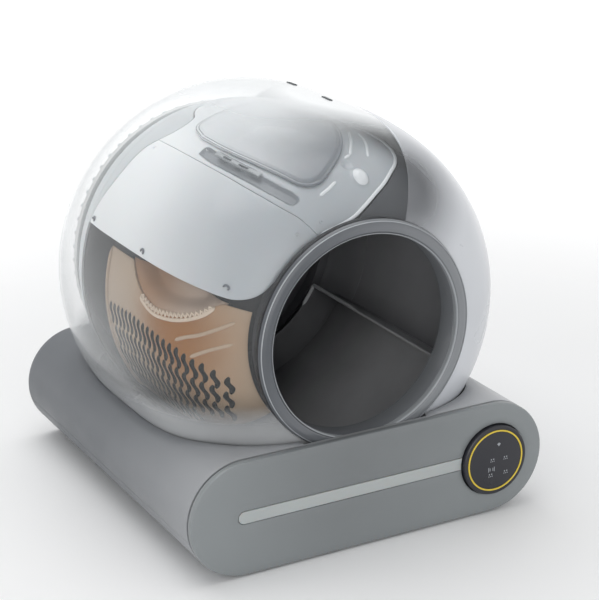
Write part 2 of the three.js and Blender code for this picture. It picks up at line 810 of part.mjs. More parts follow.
// Outlines of [degrees round, share along] on the drum.
const hoodOverrunDeg = 6;
const belowHoodDeg = hoodLowDeg - hoodOverrunDeg;
const hoodWidestShare = -0.185;
const hoodOutlineShares = [
  [belowHoodDeg, 0.4], [belowHoodDeg, 0.039], [belowHoodDeg, -0.331], [belowHoodDeg, -0.695],
  [belowHoodDeg, -0.956],
  [-60, -1.065], [-30, -1.095], [-4, -1.065], [13, -0.891], [22, -0.789], [28, -0.658],
  [hoodRightDeg - 1, -0.476], [hoodRightDeg, hoodWidestShare], [27, 0.125], [10, 0.263],
  [-8, 0.349], [-16, 0.297],
  [-20, 0.134], [-30, 0.168], [-37, 0.254], [-48, 0.289], [-60, 0.358],
];
const hoodMiddleDeg = -19;
const seamShares = [[-33.2, 0.19], [-33.2, -0.284], [-31.7, -0.684], [-25.7, -0.891], [-22.7, -0.931]];
const doorOutlineShares = [
  [-26, -0.113], [-26.1, -0.331], [-25, -0.513], [-22, -0.695], [-17.5, -0.807], [-11, -0.825],
  [-3.6, -0.782], [3.2, -0.705], [8.4, -0.585], [12.5, -0.404], [13.6, -0.185], [12.5, -0.011], [6, 0.052],
  [-15, 0.052], [-23, 0.022],
];
const doorMiddleDeg = -6.5;
const scoopOutlineShares = [
  [-30.2, -0.331], [-30.4, -0.476], [-28, -0.695], [-22.5, -0.847], [-20, -0.825], [-24, -0.658],
  [-26, -0.476], [-27, -0.295],
];
const scoopMiddleDeg = -25;
const scoopDepth = 1.2;
const portBorder = 9;

const sectorGapDeg = (seamGap / drumRadius) * THREE.MathUtils.RAD2DEG;
const aboveLowEdge = (gapDeg) => wedge(hoodLowDeg - gapDeg, hoodRightDeg + wedgeStepDeg);
const hoodArea = patchCutter(hoodOutlineShares, hoodMiddleDeg, 0).intersect(aboveLowEdge(0));
const hoodClearance = patchCutter(hoodOutlineShares, hoodMiddleDeg, seamGap)
  .intersect(aboveLowEdge(sectorGapDeg));

// Everything to the left of the seam between the two hood panels.
function leftOfSeam(shift) {
  const seamDeg = seamShares[0][0];
  const flat = seamShares.map(([degrees, share]) => {
    const y = alongDrum(share);
    return [drumRadiusAt(y) * Math.sin(radians(degrees - seamDeg)) + shift, y];
  });
  const last = flat[flat.length - 1];
  const shape = outline([
    [flat[0][0], farOut], ...flat, [last[0], -farOut], [-farOut, -farOut], [-farOut, farOut],
  ]);
  return standing(shape, seamDeg, 0, farOut);
}

// Clips below the hood: [degrees round, share along].
const clipShares = [[-70.2, 0.315], [-70.2, -0.313], [-70.2, -0.767]];
const clipLength = 9;
const clipWidth = 7;
const clipThickness = 2.4;
// Round bosses on the hood: [degrees round, share along, radius as a share of the drum's].
const bossShares = [[-9.5, 0.263, 0.0556], [8, -0.811, 0.0385]];
const bossProud = 2.4;

function makeHoodLower() {
  return drumSkin.intersect(hoodArea).intersect(leftOfSeam(-seamGap / 2));
}

function makeBoss([degrees, share, radiusShare]) {
  const y = alongDrum(share);
  const radius = drumRadius * radiusShare;
  const geometry = new THREE.CylinderGeometry(radius, radius, drumRadius, smallSteps);
  geometry.rotateX(Math.PI / 2);
  geometry.translate(0, y, drumRadius / 2 + drumRadiusAt(y) / 2);
  geometry.rotateY(radians(degrees));
  geometry.translate(0, 0, axisZ);
  return toSolid(geometry);
}

function makeHoodUpper() {
  const scoop = patchCutter(scoopOutlineShares, scoopMiddleDeg, 0).subtract(drumBody(-scoopDepth));
  const port = patchCutter(doorOutlineShares, doorMiddleDeg, -portBorder);
  const bosses = joinAll(bossShares.map(makeBoss))
    .intersect(drumLayer(bossProud, -drumWall))
    .intersect(hoodArea);
  return drumSkin.intersect(hoodArea).add(bosses)
    .subtract(leftOfSeam(seamGap / 2)).subtract(port).subtract(scoop);
}

function makeHoodClip([degrees, share]) {
  const layer = drumLayer(seatGap + clipThickness, seatGap);
  const y = alongDrum(share);
  const [halfWidth, halfLength] = [clipWidth / 2, clipLength / 2];
  const shape = roundedRect(-halfWidth, halfWidth, y - halfLength, y + halfLength, clipWidth / 4);
  return standing(shape, degrees, drumRadius / 2, farOut).intersect(layer);
}

const rearCut = (gap) => between(rearShellY + gap, farOut);
const upperHalf = block(-farOut, farOut, -farOut, farOut, axisZ, farOut);
const behindHood = upperHalf.intersect(between(alongDrum(hoodWidestShare), farOut));

function makeRearShell() {
  const topZone = wedge(hoodLowDeg, hoodRightDeg).intersect(behindHood);
  const skin = drumSkin.intersect(rearCut(0).add(topZone)).subtract(hoodClearance);
  const edgeRadius = drumRadiusAt(stepY) - drumWall / 3;
  const lipRadius = stepRadius - drumWall * 2;
  const innerRadius = stepRadius - drumWall;
  const step = turned([
    [lipRadius, stepY - drumWall], [edgeRadius, stepY - drumWall], [edgeRadius, stepY], [stepRadius, stepY],
    [stepRadius, drumRearY], [0, drumRearY], [0, drumRearY - drumWall], [innerRadius, drumRearY - drumWall],
    [innerRadius, stepY], [lipRadius, stepY],
  ]);
  return skin.add(step);
}

function makeWindow() {
  return drumSkin.intersect(wedge(windowLowDeg, hoodLowDeg - sectorGapDeg)).subtract(rearCut(-seamGap))
    .subtract(hoodClearance);
}

function makeDrumShell() {
  const bowl = drumSkin.intersect(wedge(hoodRightDeg + sectorGapDeg, windowLowDeg + 360 - sectorGapDeg))
    .subtract(rearCut(-seamGap)).subtract(hoodClearance);
  const frontRim = drumSkin.intersect(wedge(hoodLowDeg, hoodRightDeg + sectorGapDeg * 2))
    .subtract(hoodClearance)
    .subtract(behindHood);
  return bowl.add(frontRim);
}

function makeBearingRing() {
  const inner = tubeRadius + bearingGap;
  return turned([
    [inner, drumFrontY + seatGap], [inner + bearingThickness, drumFrontY + seatGap],
    [inner + bearingThickness, drumFrontY + bearingLength], [inner, drumFrontY + bearingLength],
  ]);
}

function makeTrackRing() {
  return turned([
    [stepRadius + seatGap, trackFrontY], [trackRadius, trackFrontY], [trackRadius, trackFrontY + trackWidth],
    [stepRadius + seatGap, trackFrontY + trackWidth],
  ]);
}

function makeRingGear() {
  const teeth = gearOutline(ringTeeth, 0, axisZ, 180 + pinionDeg + 180 / ringTeeth, ringDedendum);
  const gearRearY = gearFrontY + gearWidth;
  const boreRadius = stepRadius + seatGap * 2;
  return prismY(teeth, gearFrontY, gearRearY)
    .subtract(rodY(0, axisZ, boreRadius, gearFrontY - cutOverrun, gearRearY + cutOverrun, turnSteps));
}

function makeHomeMagnet() {
  const y0 = drumRearY + seatGap;
  return rodY(0, magnetZ, magnetRadius, y0, y0 + magnetThickness, tinySteps);
}

// Port door: a curved plate that slides round the drum's axis over the port in the hood
const doorThickness = 3.2;
const catchThickness = 2.6;
const catchWidthDeg = 2.1;
const catchInset = 94;
const catchLength = 90;
const catchFrontY = globeWidestY - drumFrontReach + catchInset;
const catchRearY = catchFrontY + catchLength;
const catchSlotShare = 0.38;
const catchSlotNearShare = 0.33;
const catchSlotFarShare = 0.62;

function makePortDoor() {
  return drumLayer(doorGap + doorThickness, doorGap)
    .intersect(patchCutter(doorOutlineShares, doorMiddleDeg, 0));
}

// The door's outline turned to the left by some degrees.
function shiftedDoor(byDeg) {
  const shifted = doorOutlineShares.map(([degrees, share]) => [degrees - byDeg, share]);
  return patchCutter(shifted, doorMiddleDeg, 0);
}

// A bar with two slots along the door's left edge, where the fixed striker catches the door.
function makeCatchBar() {
  const halfLength = (catchRearY - catchFrontY) / 2;
  const middleY = (catchRearY + catchFrontY) / 2;
  const slotBand = shiftedDoor(catchWidthDeg * (1 - catchSlotNearShare))
    .subtract(shiftedDoor(catchWidthDeg * (1 - catchSlotFarShare)));
  const slots = [-1, 1].map((side) => {
    const y = middleY + (side * halfLength) / 2;
    const reach = halfLength * catchSlotShare;
    return slotBand.intersect(between(y - reach, y + reach));
  });
  return drumLayer(doorGap + catchThickness, doorGap)
    .intersect(shiftedDoor(catchWidthDeg))
    .intersect(between(catchFrontY, catchRearY))
    .intersect(wedge(hoodLowDeg, doorMiddleDeg))
    .subtract(patchCutter(doorOutlineShares, doorMiddleDeg, seamGap))
    .subtract(joinAll(slots));
}

// Sieve: a curved screen behind the window with rows of wavy slots.

const slotWidth = 4.4;
const slotLength = 30;
const slotPitch = 12;
const slotWave = 2.4;
// Rows of slots: where each starts and ends, as shares along the drum and in degrees round it.
const slotRowShares = [
  [0.039, -0.433, -82, -92], [0.022, -0.658, -93.5, -105], [-0.04, -0.695, -105, -117],
];

function wavySlot() {
  const half = slotWidth / 2;
  const near = [[-slotLength / 2, -half], [0, slotWave - half], [slotLength / 2, -half]];
  const far = [[slotLength / 2, half], [0, slotWave + half], [-slotLength / 2, half]];
  return outline([...near, ...far]);
}

function slotCutter(degrees, y) {
  const cutDepth = sieveThickness * 8;
  const geometry = new THREE.ExtrudeGeometry(wavySlot(), { depth: cutDepth, bevelEnabled: false });
  geometry.translate(0, 0, drumRadiusAt(y, -sieveInset) - cutDepth / 2);
  geometry.rotateY(radians(degrees));
  geometry.translate(0, y, axisZ);
  return toSolid(geometry);
}

function makeSieve() {
  const screen = drumLayer(-sieveInset, -sieveInset - sieveThickness, screenSteps)
    .intersect(between(sieveFrontY, sieveRearY)).intersect(wedge(sieveLowDeg, sieveTopDeg));
  const cutters = [];
  for (const [startShare, endShare, startDeg, endDeg] of slotRowShares) {
    const startY = alongDrum(startShare);
    const count = Math.floor((startY - alongDrum(endShare)) / slotPitch);
    for (let i = 0; i <= count; i += 1) {
      cutters.push(slotCutter(startDeg + (endDeg - startDeg) * (i / count), startY - i * slotPitch));
    }
  }
  return screen.subtract(joinAll(cutters)).add(makeSieveBrackets());
}

// Two ribs along the screen's rear and front ends that reach out to the drum's skin.
function makeSieveBrackets() {
  const ribs = [sieveRearY - sieveThickness, sieveFrontRibY].map((y0) => {
    const y1 = y0 + sieveThickness;
    const outer = drumRadiusAt(y0);
    const inner = drumRadiusAt(y0, -sieveInset - sieveThickness);
    return turned([[inner, y0], [outer, y0], [outer, y1], [inner, y1]])
      .intersect(wedge(sieveLowDeg, sieveTopDeg)).intersect(drumBody(-drumWall - seatGap));
  });
  return joinAll(ribs);
}

// Litter liner: a dark bowl against the drum's lower wall, closed by a rear wall and a long rim.
function makeLiner() {
  const outerOffset = -drumWall - linerGap;
  const frontY = drumFrontY + linerThickness * 2;
  const reach = between(frontY, linerRearY).intersect(wedge(linerStartDeg, linerEndDeg));
  const bowl = drumLayer(outerOffset, outerOffset - linerThickness).intersect(reach);
  const space = drumBody(outerOffset).intersect(reach);
  const insideRim = rodY(0, axisZ, linerRimRadius, -farOut, farOut, turnSteps);
  const rear = space.intersect(between(linerRearY - linerThickness, linerRearY)).subtract(upperHalf);
  const rimDeg = (linerThickness / linerRimRadius) * THREE.MathUtils.RAD2DEG;
  const rim = space.intersect(wedge(linerStartDeg, linerStartDeg + rimDeg));
  return bowl.add(rear.add(rim).subtract(insideRim)).subtract(neckBore(seatGap));
}

// Waste chamber wall: the cabin's ceiling, bowed between the sieve's top edge and the right rim of the hood.
const chamberBow = 15.8;
const chamberSteps = 8;

function makeChamberWall() {
  const low = [roundX(chamberLowDeg, chamberLowRadius), roundZ(chamberLowDeg, chamberLowRadius)];
  const high = [roundX(chamberHighDeg, drumRadius), roundZ(chamberHighDeg, drumRadius)];
  const along = new THREE.Vector2(high[0] - low[0], high[1] - low[1]);
  const normal = new THREE.Vector2(-along.y, along.x).normalize();
  const strip = (lift) => {
    const points = [];
    for (let i = 0; i <= chamberSteps; i += 1) {
      const share = i / chamberSteps;
      const rise = lift + chamberBow * Math.sin(Math.PI * share);
      points.push([low[0] + along.x * share + normal.x * rise, low[1] + along.y * share + normal.y * rise]);
    }
    return points;
  };
  const ceiling = outline([...strip(0), ...strip(chamberWallThickness).reverse()]);
  const above = outline([...strip(0), [farOut, farOut], [-farOut, farOut]]);
  const rear = prismY(above, chamberRearY - chamberWallThickness, chamberRearY);
  return prismY(ceiling, chamberFrontY, chamberRearY).add(rear).intersect(drumBody(-drumWall - seatGap));
}

// Drawer

function makeDrawerFront() {
  const geometry = new THREE.ExtrudeGeometry(stadium(frontPanelBevel), {
    depth: frontPanelThickness - frontPanelBevel, bevelEnabled: true, bevelThickness: frontPanelBevel,
    bevelSize: frontPanelBevel, bevelSegments: 2, curveSegments: smallSteps,
  });
  geometry.rotateX(Math.PI / 2);
  geometry.translate(0, drawerFrontRearY, 0);
  const cutFrontY = baseFrontY - cutOverrun;
  return toSolid(geometry).intersect(between(-farOut, drawerFrontRearY))
    .subtract(rodY(podX, podZ, podRadius + slideGap, cutFrontY, drawerFrontRearY + cutOverrun, podSteps))
    .subtract(prismY(stripShape(seatGap), cutFrontY, baseFrontY + stripDepth));
}

const stripRightX = podX - podRadius - slideGap * 2;

function stripShape(grow) {
  const radius = stripHeight / 2 + grow;
  const shape = new THREE.Shape();
  const midZ = stripLowZ + stripHeight / 2;
  shape.moveTo(stripLeftX + stripHeight / 2, midZ - radius);
  shape.lineTo(stripRightX + grow, midZ - radius);
  shape.lineTo(stripRightX + grow, midZ + radius);
  shape.lineTo(stripLeftX + stripHeight / 2, midZ + radius);
  shape.absarc(stripLeftX + stripHeight / 2, midZ, radius, Math.PI / 2, Math.PI * 1.5, false);
  return shape;
}

function makeLightStrip() {
  return prismY(stripShape(0), baseFrontY, baseFrontY + stripDepth - seatGap, tinySteps);
}

function makeBin() {
  const frontY = drawerFrontRearY + seatGap;
  const keepOut = drumBody(binDrumGap).intersect(between(-farOut, globeWidestY))
    .add(rodY(0, axisZ, drumRadius + binDrumGap, globeWidestY - seamGap, farOut, turnSteps))
    .add(rodY(0, axisZ, tubeRadius + binDrumGap, -farOut, 0, turnSteps));
  const box = (inset, z0, z1) => {
    const halfWidth = binHalfWidth - inset;
    const shape = roundedRect(-halfWidth, halfWidth, frontY + inset, binRearY - inset, binCorner - inset);
    return prismZ(shape, z0, z1, cornerSteps);
  };
  return box(0, binFloorZ, binTopZ)
    .subtract(box(binWall, binFloorZ + binWall, binTopZ + cutOverrun))
    .subtract(keepOut);
}

const railReach = 18;

function makeRail(side) {
  const y0 = shellFrontY + endPlateThickness + seamGap;
  const innerX = binHalfWidth - railReach;
  const outerX = binHalfWidth + slideGap + railThickness;
  const z0 = trayFloorZ + seatGap;
  const wallX = outerX - railThickness;
  const ledgeZ = binFloorZ - seatGap;
  const shape = outline([
    [side * innerX, z0], [side * outerX, z0], [side * outerX, z0 + railHeight],
    [side * wallX, z0 + railHeight], [side * wallX, ledgeZ], [side * innerX, ledgeZ],
  ]);
  return prismY(shape, y0, binRearY + cutOverrun);
}

// Control pod

const podFrontY = baseFrontY - podProud;
const podHollowRadius = podRingRadius - podRingWidth * 2;
const podRingDepth = 1.6;
const podBoardInset = 4.8;

function makePodHousing() {
  const rearY = shellFrontY + podDepth;
  const collarRear = shellFrontY - seatGap;
  return rodY(podX, podZ, podRadius, podFrontY + podGlassThickness, collarRear, podSteps)
    .add(rodY(podX, podZ, podBodyRadius, collarRear - seatGap, rearY, podSteps))
    .subtract(rodY(podX, podZ, podHollowRadius, podFrontY - cutOverrun, rearY - baseWall));
}

function ringAt(outer, inner, y0, y1) {
  return rodY(podX, podZ, outer, y0, y1, podSteps)
    .subtract(rodY(podX, podZ, inner, y0 - cutOverrun, y1 + cutOverrun, podSteps));
}

function makePodGlass() {
  const rearY = podFrontY + podGlassThickness - seatGap;
  const outer = podRingRadius + podRingWidth / 2 + seatGap;
  const inner = podRingRadius - podRingWidth / 2 - seatGap;
  return rodY(podX, podZ, podRadius, podFrontY + seatGap * 2, rearY, podSteps)
    .subtract(ringAt(outer, inner, podFrontY - cutOverrun, podFrontY + podRingDepth));
}

function makePodRing() {
  return ringAt(podRingRadius + podRingWidth / 2, podRingRadius - podRingWidth / 2, podFrontY,
    podFrontY + podRingDepth - seatGap);
}

function makePodBoard() {
  const y0 = podFrontY + podBoardInset;
  return rodY(podX, podZ, podHollowRadius - seatGap, y0, y0 + boardThickness);
}

// Assembly

place('base_tray', makeTray(), plastic(0x8f9494, 0.5));
place('base_deck', makeDeck(), plastic(0x979999, 0.45));
place('front_frame', makeFrontFrame(), plastic(0x55595c, 0.6));
place('rear_cover', makeRearCover(), plastic(0x8a8f8f, 0.5));
screwPlaces().forEach((spot, i) => {
  place(`rear_cover_screw_${i + 1}`, makeRearCoverScrew(spot), metal(0x9a9a9a, 0.4));
});
place('power_inlet', makePowerInlet(), plastic(0x1c1d1f, 0.5));
place('globe_seat_ring', makeSeatRing(), plastic(0x6d7274, 0.6));
place('rear_bulkhead', makeRearBulkhead(), plastic(0x6d7274, 0.6));
place('roller_axle_left', makeRollerAxle(-1), metal(0xa8a8a8, 0.35));
place('roller_axle_right', makeRollerAxle(1), metal(0xa8a8a8, 0.35));
place('gearbox', makeGearbox(), metal(0x9c9c98, 0.45));
place('drive_motor', makeMotor(), metal(0x8b8b8b, 0.4));
place('home_sensor', makeHomeSensor(), plastic(0x1f4f33, 0.6));
place('main_board', makeMainBoard(), plastic(0x1f5a38, 0.6));
place('globe_clear_half', makeLeftGlobe(), plastic(0xdfe7ea, 0.1, { transparent: true, opacity: 0.35 }));
place('globe_white_half', makeRightGlobe(), plastic(0xe8eaec, 0.35));
latchYs.forEach((y, i) => place(`globe_seam_latch_${i + 1}`, makeSeamLatch(y), plastic(0x3a3c40, 0.5)));
place('entry_collar', makeCollar(), plastic(0x70767b, 0.45));
place('entry_gasket', makeGasket(), plastic(0xb9c0c4, 0.5));
place('pod_housing', makePodHousing(), plastic(0x2b2d33, 0.5));
place('pod_glass', makePodGlass(), plastic(0x25272d, 0.12));
place('pod_gold_ring', makePodRing(), metal(0xc9a84c, 0.3));
place('pod_board', makePodBoard(), plastic(0x1f5a38, 0.6));
for (const [name, x, y] of footPlaces()) {
  place(`foot_${name}`, makeFoot(x, y), plastic(0x2c2d2f, 0.8));
  place(`load_cell_${name}`, makeLoadCell(x, y), metal(0xb4b6b8, 0.4));
}
place('drawer_rail_left', makeRail(-1), plastic(0x5a5f62, 0.6));
place('drawer_rail_right', makeRail(1), plastic(0x5a5f62, 0.6));

const drawer = new THREE.Group();
part.add(drawer);
place('drawer_front', makeDrawerFront(), plastic(0x7e8387, 0.4), drawer);
place('light_strip', makeLightStrip(), plastic(0xb4b6b8, 0.35), drawer);
place('waste_bin', makeBin(), plastic(0x4a4e52, 0.6), drawer);

const drum = new THREE.Group();
part.add(drum);
place('drum_shell', makeDrumShell(), plastic(0x4b4f55, 0.5), drum);
place('drum_window', makeWindow(), plastic(0xdde4e6, 0.1, { transparent: true, opacity: 0.3 }), drum);
place('drum_rear_shell', makeRearShell(), plastic(0xd5d9dc, 0.4), drum);
place('hood_lower_panel', makeHoodLower(), plastic(0xf0f1f2, 0.35), drum);
place('hood_upper_panel', makeHoodUpper(), plastic(0xf0f1f2, 0.35), drum);
clipShares.forEach((spot, i) => {
  place(`hood_clip_${i + 1}`, makeHoodClip(spot), plastic(0xc9cccf, 0.4), drum);
});
place('waste_chamber_wall', makeChamberWall(), plastic(0x53575d, 0.5), drum);
place('sieve_screen', makeSieve(), plastic(0xb99a78, 0.5), drum);
place('litter_liner', makeLiner(), plastic(0x3c3f44, 0.7), drum);
place('front_bearing_ring', makeBearingRing(), plastic(0xe6e4dc, 0.4), drum);
place('rear_track_ring', makeTrackRing(), plastic(0xd8dbdd, 0.4), drum);
place('ring_gear', makeRingGear(), plastic(0xd8dbdd, 0.4), drum);
place('home_magnet', makeHomeMagnet(), metal(0x8f9295, 0.3), drum);

place('port_door', makePortDoor(), plastic(0xf4f5f6, 0.3), drum);
place('door_catch_bar', makeCatchBar(), plastic(0xd0d3d6, 0.4), drum);

place('drum_roller_left', makeRoller(-1), plastic(0x2f3134, 0.7));
place('drum_roller_right', makeRoller(1), plastic(0x2f3134, 0.7));
place('drive_pinion', makePinion(), plastic(0xe2dfd4, 0.4));

export default part;
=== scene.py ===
"""Self cleaning litter box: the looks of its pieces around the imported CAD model.

A fixed globe stands on a low base and a drum turns inside it about the Y axis. A waste drawer
slides forward under the drum. Sizes are in metres, in the frame of the CAD model.
"""

import json
import logging
import math
from dataclasses import dataclass
from enum import Enum
from typing import Callable, Iterable, Optional, Protocol, Sequence

import bmesh
import bpy
import numpy as np
from mathutils import Matrix, Vector
from mathutils.geometry import delaunay_2d_cdt


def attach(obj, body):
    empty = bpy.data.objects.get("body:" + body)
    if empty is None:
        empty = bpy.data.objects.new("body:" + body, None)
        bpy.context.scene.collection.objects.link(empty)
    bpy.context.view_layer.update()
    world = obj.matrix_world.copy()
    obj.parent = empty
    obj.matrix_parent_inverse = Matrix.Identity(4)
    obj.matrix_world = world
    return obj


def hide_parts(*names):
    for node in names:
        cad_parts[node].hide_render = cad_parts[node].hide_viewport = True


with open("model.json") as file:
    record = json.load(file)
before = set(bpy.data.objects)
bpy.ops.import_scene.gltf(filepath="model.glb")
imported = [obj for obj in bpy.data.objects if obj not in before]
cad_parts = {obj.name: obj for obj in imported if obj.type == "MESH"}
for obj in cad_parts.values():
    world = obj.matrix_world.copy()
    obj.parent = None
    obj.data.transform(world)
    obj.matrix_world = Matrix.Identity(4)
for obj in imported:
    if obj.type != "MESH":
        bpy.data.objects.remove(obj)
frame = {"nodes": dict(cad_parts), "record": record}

LOG = logging.getLogger("litter_box")
MM = 0.001
AXIS_Z = 0.2782
# Lengths that don't count: in a sum, and between two points that become one.
TINY = 1e-9
WELD = 2e-6
# Even triangles, as shares of their size: the height of a row and the least gap to an outline.
ROW_STEP = 0.87
LEAST_GAP = 0.62
BATCH = 2000
PROFILE_STEP = 1.2 * MM
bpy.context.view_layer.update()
Array = np.ndarray
Table = Sequence[Sequence[float]]
Place = tuple[float, float, float]
Colour = tuple[float, float, float, float]
Socket = bpy.types.NodeSocket


class Body(Enum):
    """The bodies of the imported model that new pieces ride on."""

    BASE = "base"
    DRAWER = "drawer"
    DRUM = "drum"
    DOOR = "port_door"


# Curves and areas


def smoothed(points: Table, per_span: int = 10) -> Array:
    """Draws a smooth open curve through points.

    Args:
        points: The places that the curve passes, in two or three dimensions.
        per_span: How many steps lie between two of them.

    Returns:
        The curve's points, one per row.
    """
    known = np.asarray(points, float)
    known = np.vstack([2 * known[0] - known[1], known, 2 * known[-1] - known[-2]])
    curve = []
    for four in zip(known, known[1:], known[2:], known[3:]):
        gaps = [max(np.linalg.norm(b - a), TINY) ** 0.5 for a, b in zip(four, four[1:])]
        knots = np.cumsum([0.0, *gaps])
        t = np.linspace(knots[1], knots[2], per_span, endpoint=False)[:, None]
        level = list(four)
        for first, reach in ((0, 1), (0, 2), (1, 1)):
            spans = zip(knots[first:], knots[first + reach:])
            level = [(end - t) / (end - start) * a + (t - start) / (end - start) * b
                     for (start, end), a, b in zip(spans, level, level[1:])]
        curve.append(level[0])
    return np.vstack([*curve, known[-2]])


def even(points: Array, spacing: float) -> Array:
    """Walks along a polyline in even steps, keeping both ends.

    Args:
        points: The polyline.
        spacing: About how long a step is.

    Returns:
        The ends of the steps.
    """
    lengths = np.r_[0.0, np.cumsum(np.linalg.norm(np.diff(points, axis=0), axis=1))]
    steps = max(1, math.ceil(lengths[-1] / spacing))
    marks = np.linspace(0.0, lengths[-1], steps + 1)
    return np.column_stack([np.interp(marks, lengths, column) for column in points.T])


def trace(runs: Iterable[Table], spacing: float = 3 * MM) -> Array:
    """Joins runs of points into one closed outline, with a corner where two runs meet.

    Args:
        runs: Each run starts where the last one ends; one of three or more points is smoothed.
        spacing: The step along the outline.

    Returns:
        The outline's points, without the first one repeated.
    """
    pieces = []
    for run in runs:
        points = np.asarray(run, float)
        points = smoothed(points) if len(points) > 2 else points
        pieces.append(even(points, spacing)[:-1])
    return np.vstack(pieces)


def closed(*parts: Table | Sequence[float]) -> list[Array]:
    """Gives the runs of a closed outline, with straight lines between its parts.

    Args:
        parts: Curves and single corners, in order.

    Returns:
        The curves and the lines that join them, as trace takes them.
    """
    curves = [np.atleast_2d(np.asarray(part, float)) for part in parts]
    runs = []
    for curve, after in zip(curves, curves[1:] + curves[:1]):
        if len(curve) > 1:
            runs.append(curve)
        if not np.array_equal(curve[-1], after[0]):
            runs.append(np.array([curve[-1], after[0]]))
    return runs


def rectangle(x0: float, x1: float, y0: float, y1: float) -> list[tuple[float, float]]:
    """Gives the corners of a rectangle."""
    return [(x0, y0), (x1, y0), (x1, y1), (x0, y1)]


def turning_left(loop: Array, left: bool = True) -> Array:
    """Gives a loop the wanted sense of travel.

    Args:
        loop: A closed outline.
        left: Whether it turns left, or else right.

    Returns:
        The loop, reversed where needed.
    """
    x, y = loop.T
    area = np.dot(x, np.roll(y, -1)) - np.dot(y, np.roll(x, -1))
    return loop if (area > 0) == left else loop[::-1]


def moved_left(loop: Array, distance: float) -> Array:
    """Moves each side of a closed loop to the left of its direction of travel.

    Args:
        loop: A closed outline.
        distance: How far it moves.

    Returns:
        The moved outline, with as many points.
    """
    ahead = np.roll(loop, -1, 0) - loop
    normal = np.column_stack([-ahead[:, 1], ahead[:, 0]])
    normal /= np.maximum(np.linalg.norm(normal, axis=1, keepdims=True), TINY)
    both = normal + np.roll(normal, 1, 0)
    both /= np.maximum(np.linalg.norm(both, axis=1, keepdims=True), TINY)
    reach = np.maximum(np.sum(both * normal, axis=1, keepdims=True), 0.5)
    return loop + both * distance / reach


def grown(loop: Array, distance: float) -> Array:
    """Grows a closed loop outwards, or shrinks it where the distance is negative."""
    return moved_left(turning_left(loop), -distance)


def inside(points: Array, loop: Array) -> Array:
    """Tells which points lie inside a closed loop.

    Args:
        points: The places, one per row.
        loop: A closed outline.

    Returns:
        True for each place inside.
    """
    result = np.zeros(len(points), bool)
    index = np.nonzero(np.all((points >= loop.min(0)) & (points <= loop.max(0)), axis=1))[0]
    x, y = points[index].T
    odd = np.zeros(len(index), bool)
    for (x0, y0), (x1, y1) in zip(loop, np.roll(loop, -1, 0)):
        if y0 != y1:
            odd ^= ((y0 > y) != (y1 > y)) & (x < x0 + (y - y0) * (x1 - x0) / (y1 - y0))
    result[index] = odd
    return result


def between(points: Array, loops: Sequence[Array]) -> Array:
    """Tells which points lie inside the first loop and outside the others.

    Args:
        points: The places, one per row.
        loops: Closed outlines, the outer one first.

    Returns:
        True for each place between them.
    """
    keep = inside(points, loops[0])
    for loop in loops[1:]:
        keep &= ~inside(points, loop)
    return keep


def distance_to(points: Array, line: Table) -> Array:
    """Measures from each point to the nearest place on a polyline.

    Args:
        points: The places, one per row.
        line: The polyline.

    Returns:
        The distances.
    """
    corners = np.asarray(line, float)
    nearest = np.full(len(points), np.inf)
    for start, end in zip(corners, corners[1:]):
        side = end - start
        share = np.clip((points - start) @ side / max(side @ side, TINY ** 2), 0.0, 1.0)
        off = points - start - share[:, None] * side
        nearest = np.minimum(nearest, np.linalg.norm(off, axis=1))
    return nearest


def eased(value: Array) -> Array:
    """Turns a share from 0 to 1 into one that starts and ends gently."""
    share = np.clip(value, 0.0, 1.0)
    return share * share * (3 - 2 * share)


def filled(loops: Sequence[Array], spacing: float) -> tuple[Array, Array, list[Array]]:
    """Fills the area inside the first loop and outside the others with even triangles.

    Args:
        loops: Closed outlines, the outer one first.
        spacing: The size of the triangles.

    Returns:
        The points, the triangles, and each loop's place among the points.
    """
    low, high = loops[0].min(0), loops[0].max(0)
    columns = np.arange(low[0], high[0], spacing)
    rows = np.arange(low[1], high[1], spacing * ROW_STEP)
    grid = np.stack(np.meshgrid(columns, rows), -1)
    grid[1::2, :, 0] += spacing / 2
    grid = grid.reshape(-1, 2)
    grid = grid[between(grid, loops)]
    clear = np.ones(len(grid), bool)
    reach = spacing * LEAST_GAP
    for loop in loops:
        close = (grid > loop.min(0) - reach) & (grid < loop.max(0) + reach)
        near = np.nonzero(np.all(close, axis=1))[0]
        for part in np.array_split(near, max(1, len(near) // BATCH)):
            gaps = np.linalg.norm(grid[part, None] - loop[None], axis=2)
            clear[part] &= gaps.min(1, initial=np.inf) > reach
    points = np.vstack([*loops, grid[clear]])
    starts = np.cumsum([0, *map(len, loops)])
    rings = [np.arange(start, end) for start, end in zip(starts, starts[1:])]
    edges = [side for ring in rings for side in zip(ring.tolist(), np.roll(ring, -1).tolist())]
    made, _, faces, sources, _, _ = delaunay_2d_cdt(
        [Vector(p) for p in points.tolist()], edges, [], 0, TINY
    )
    flat = np.array([v[:] for v in made])
    where = np.zeros(len(points), int)
    for index, origins in enumerate(sources):
        where[origins] = index
    triangles = np.array([face for face in faces if len(face) == 3])
    kept = between(flat[triangles].mean(1), loops)
    return flat, triangles[kept], [where[ring] for ring in rings]


# Surfaces that pieces are laid on


class Surface(Protocol):
    """Something that turns flat places and a depth below the surface into points in space."""

    def place(self, flat: Array, depth: Array | float) -> Array:
        """Gives the points for flat places, at a depth measured inwards."""


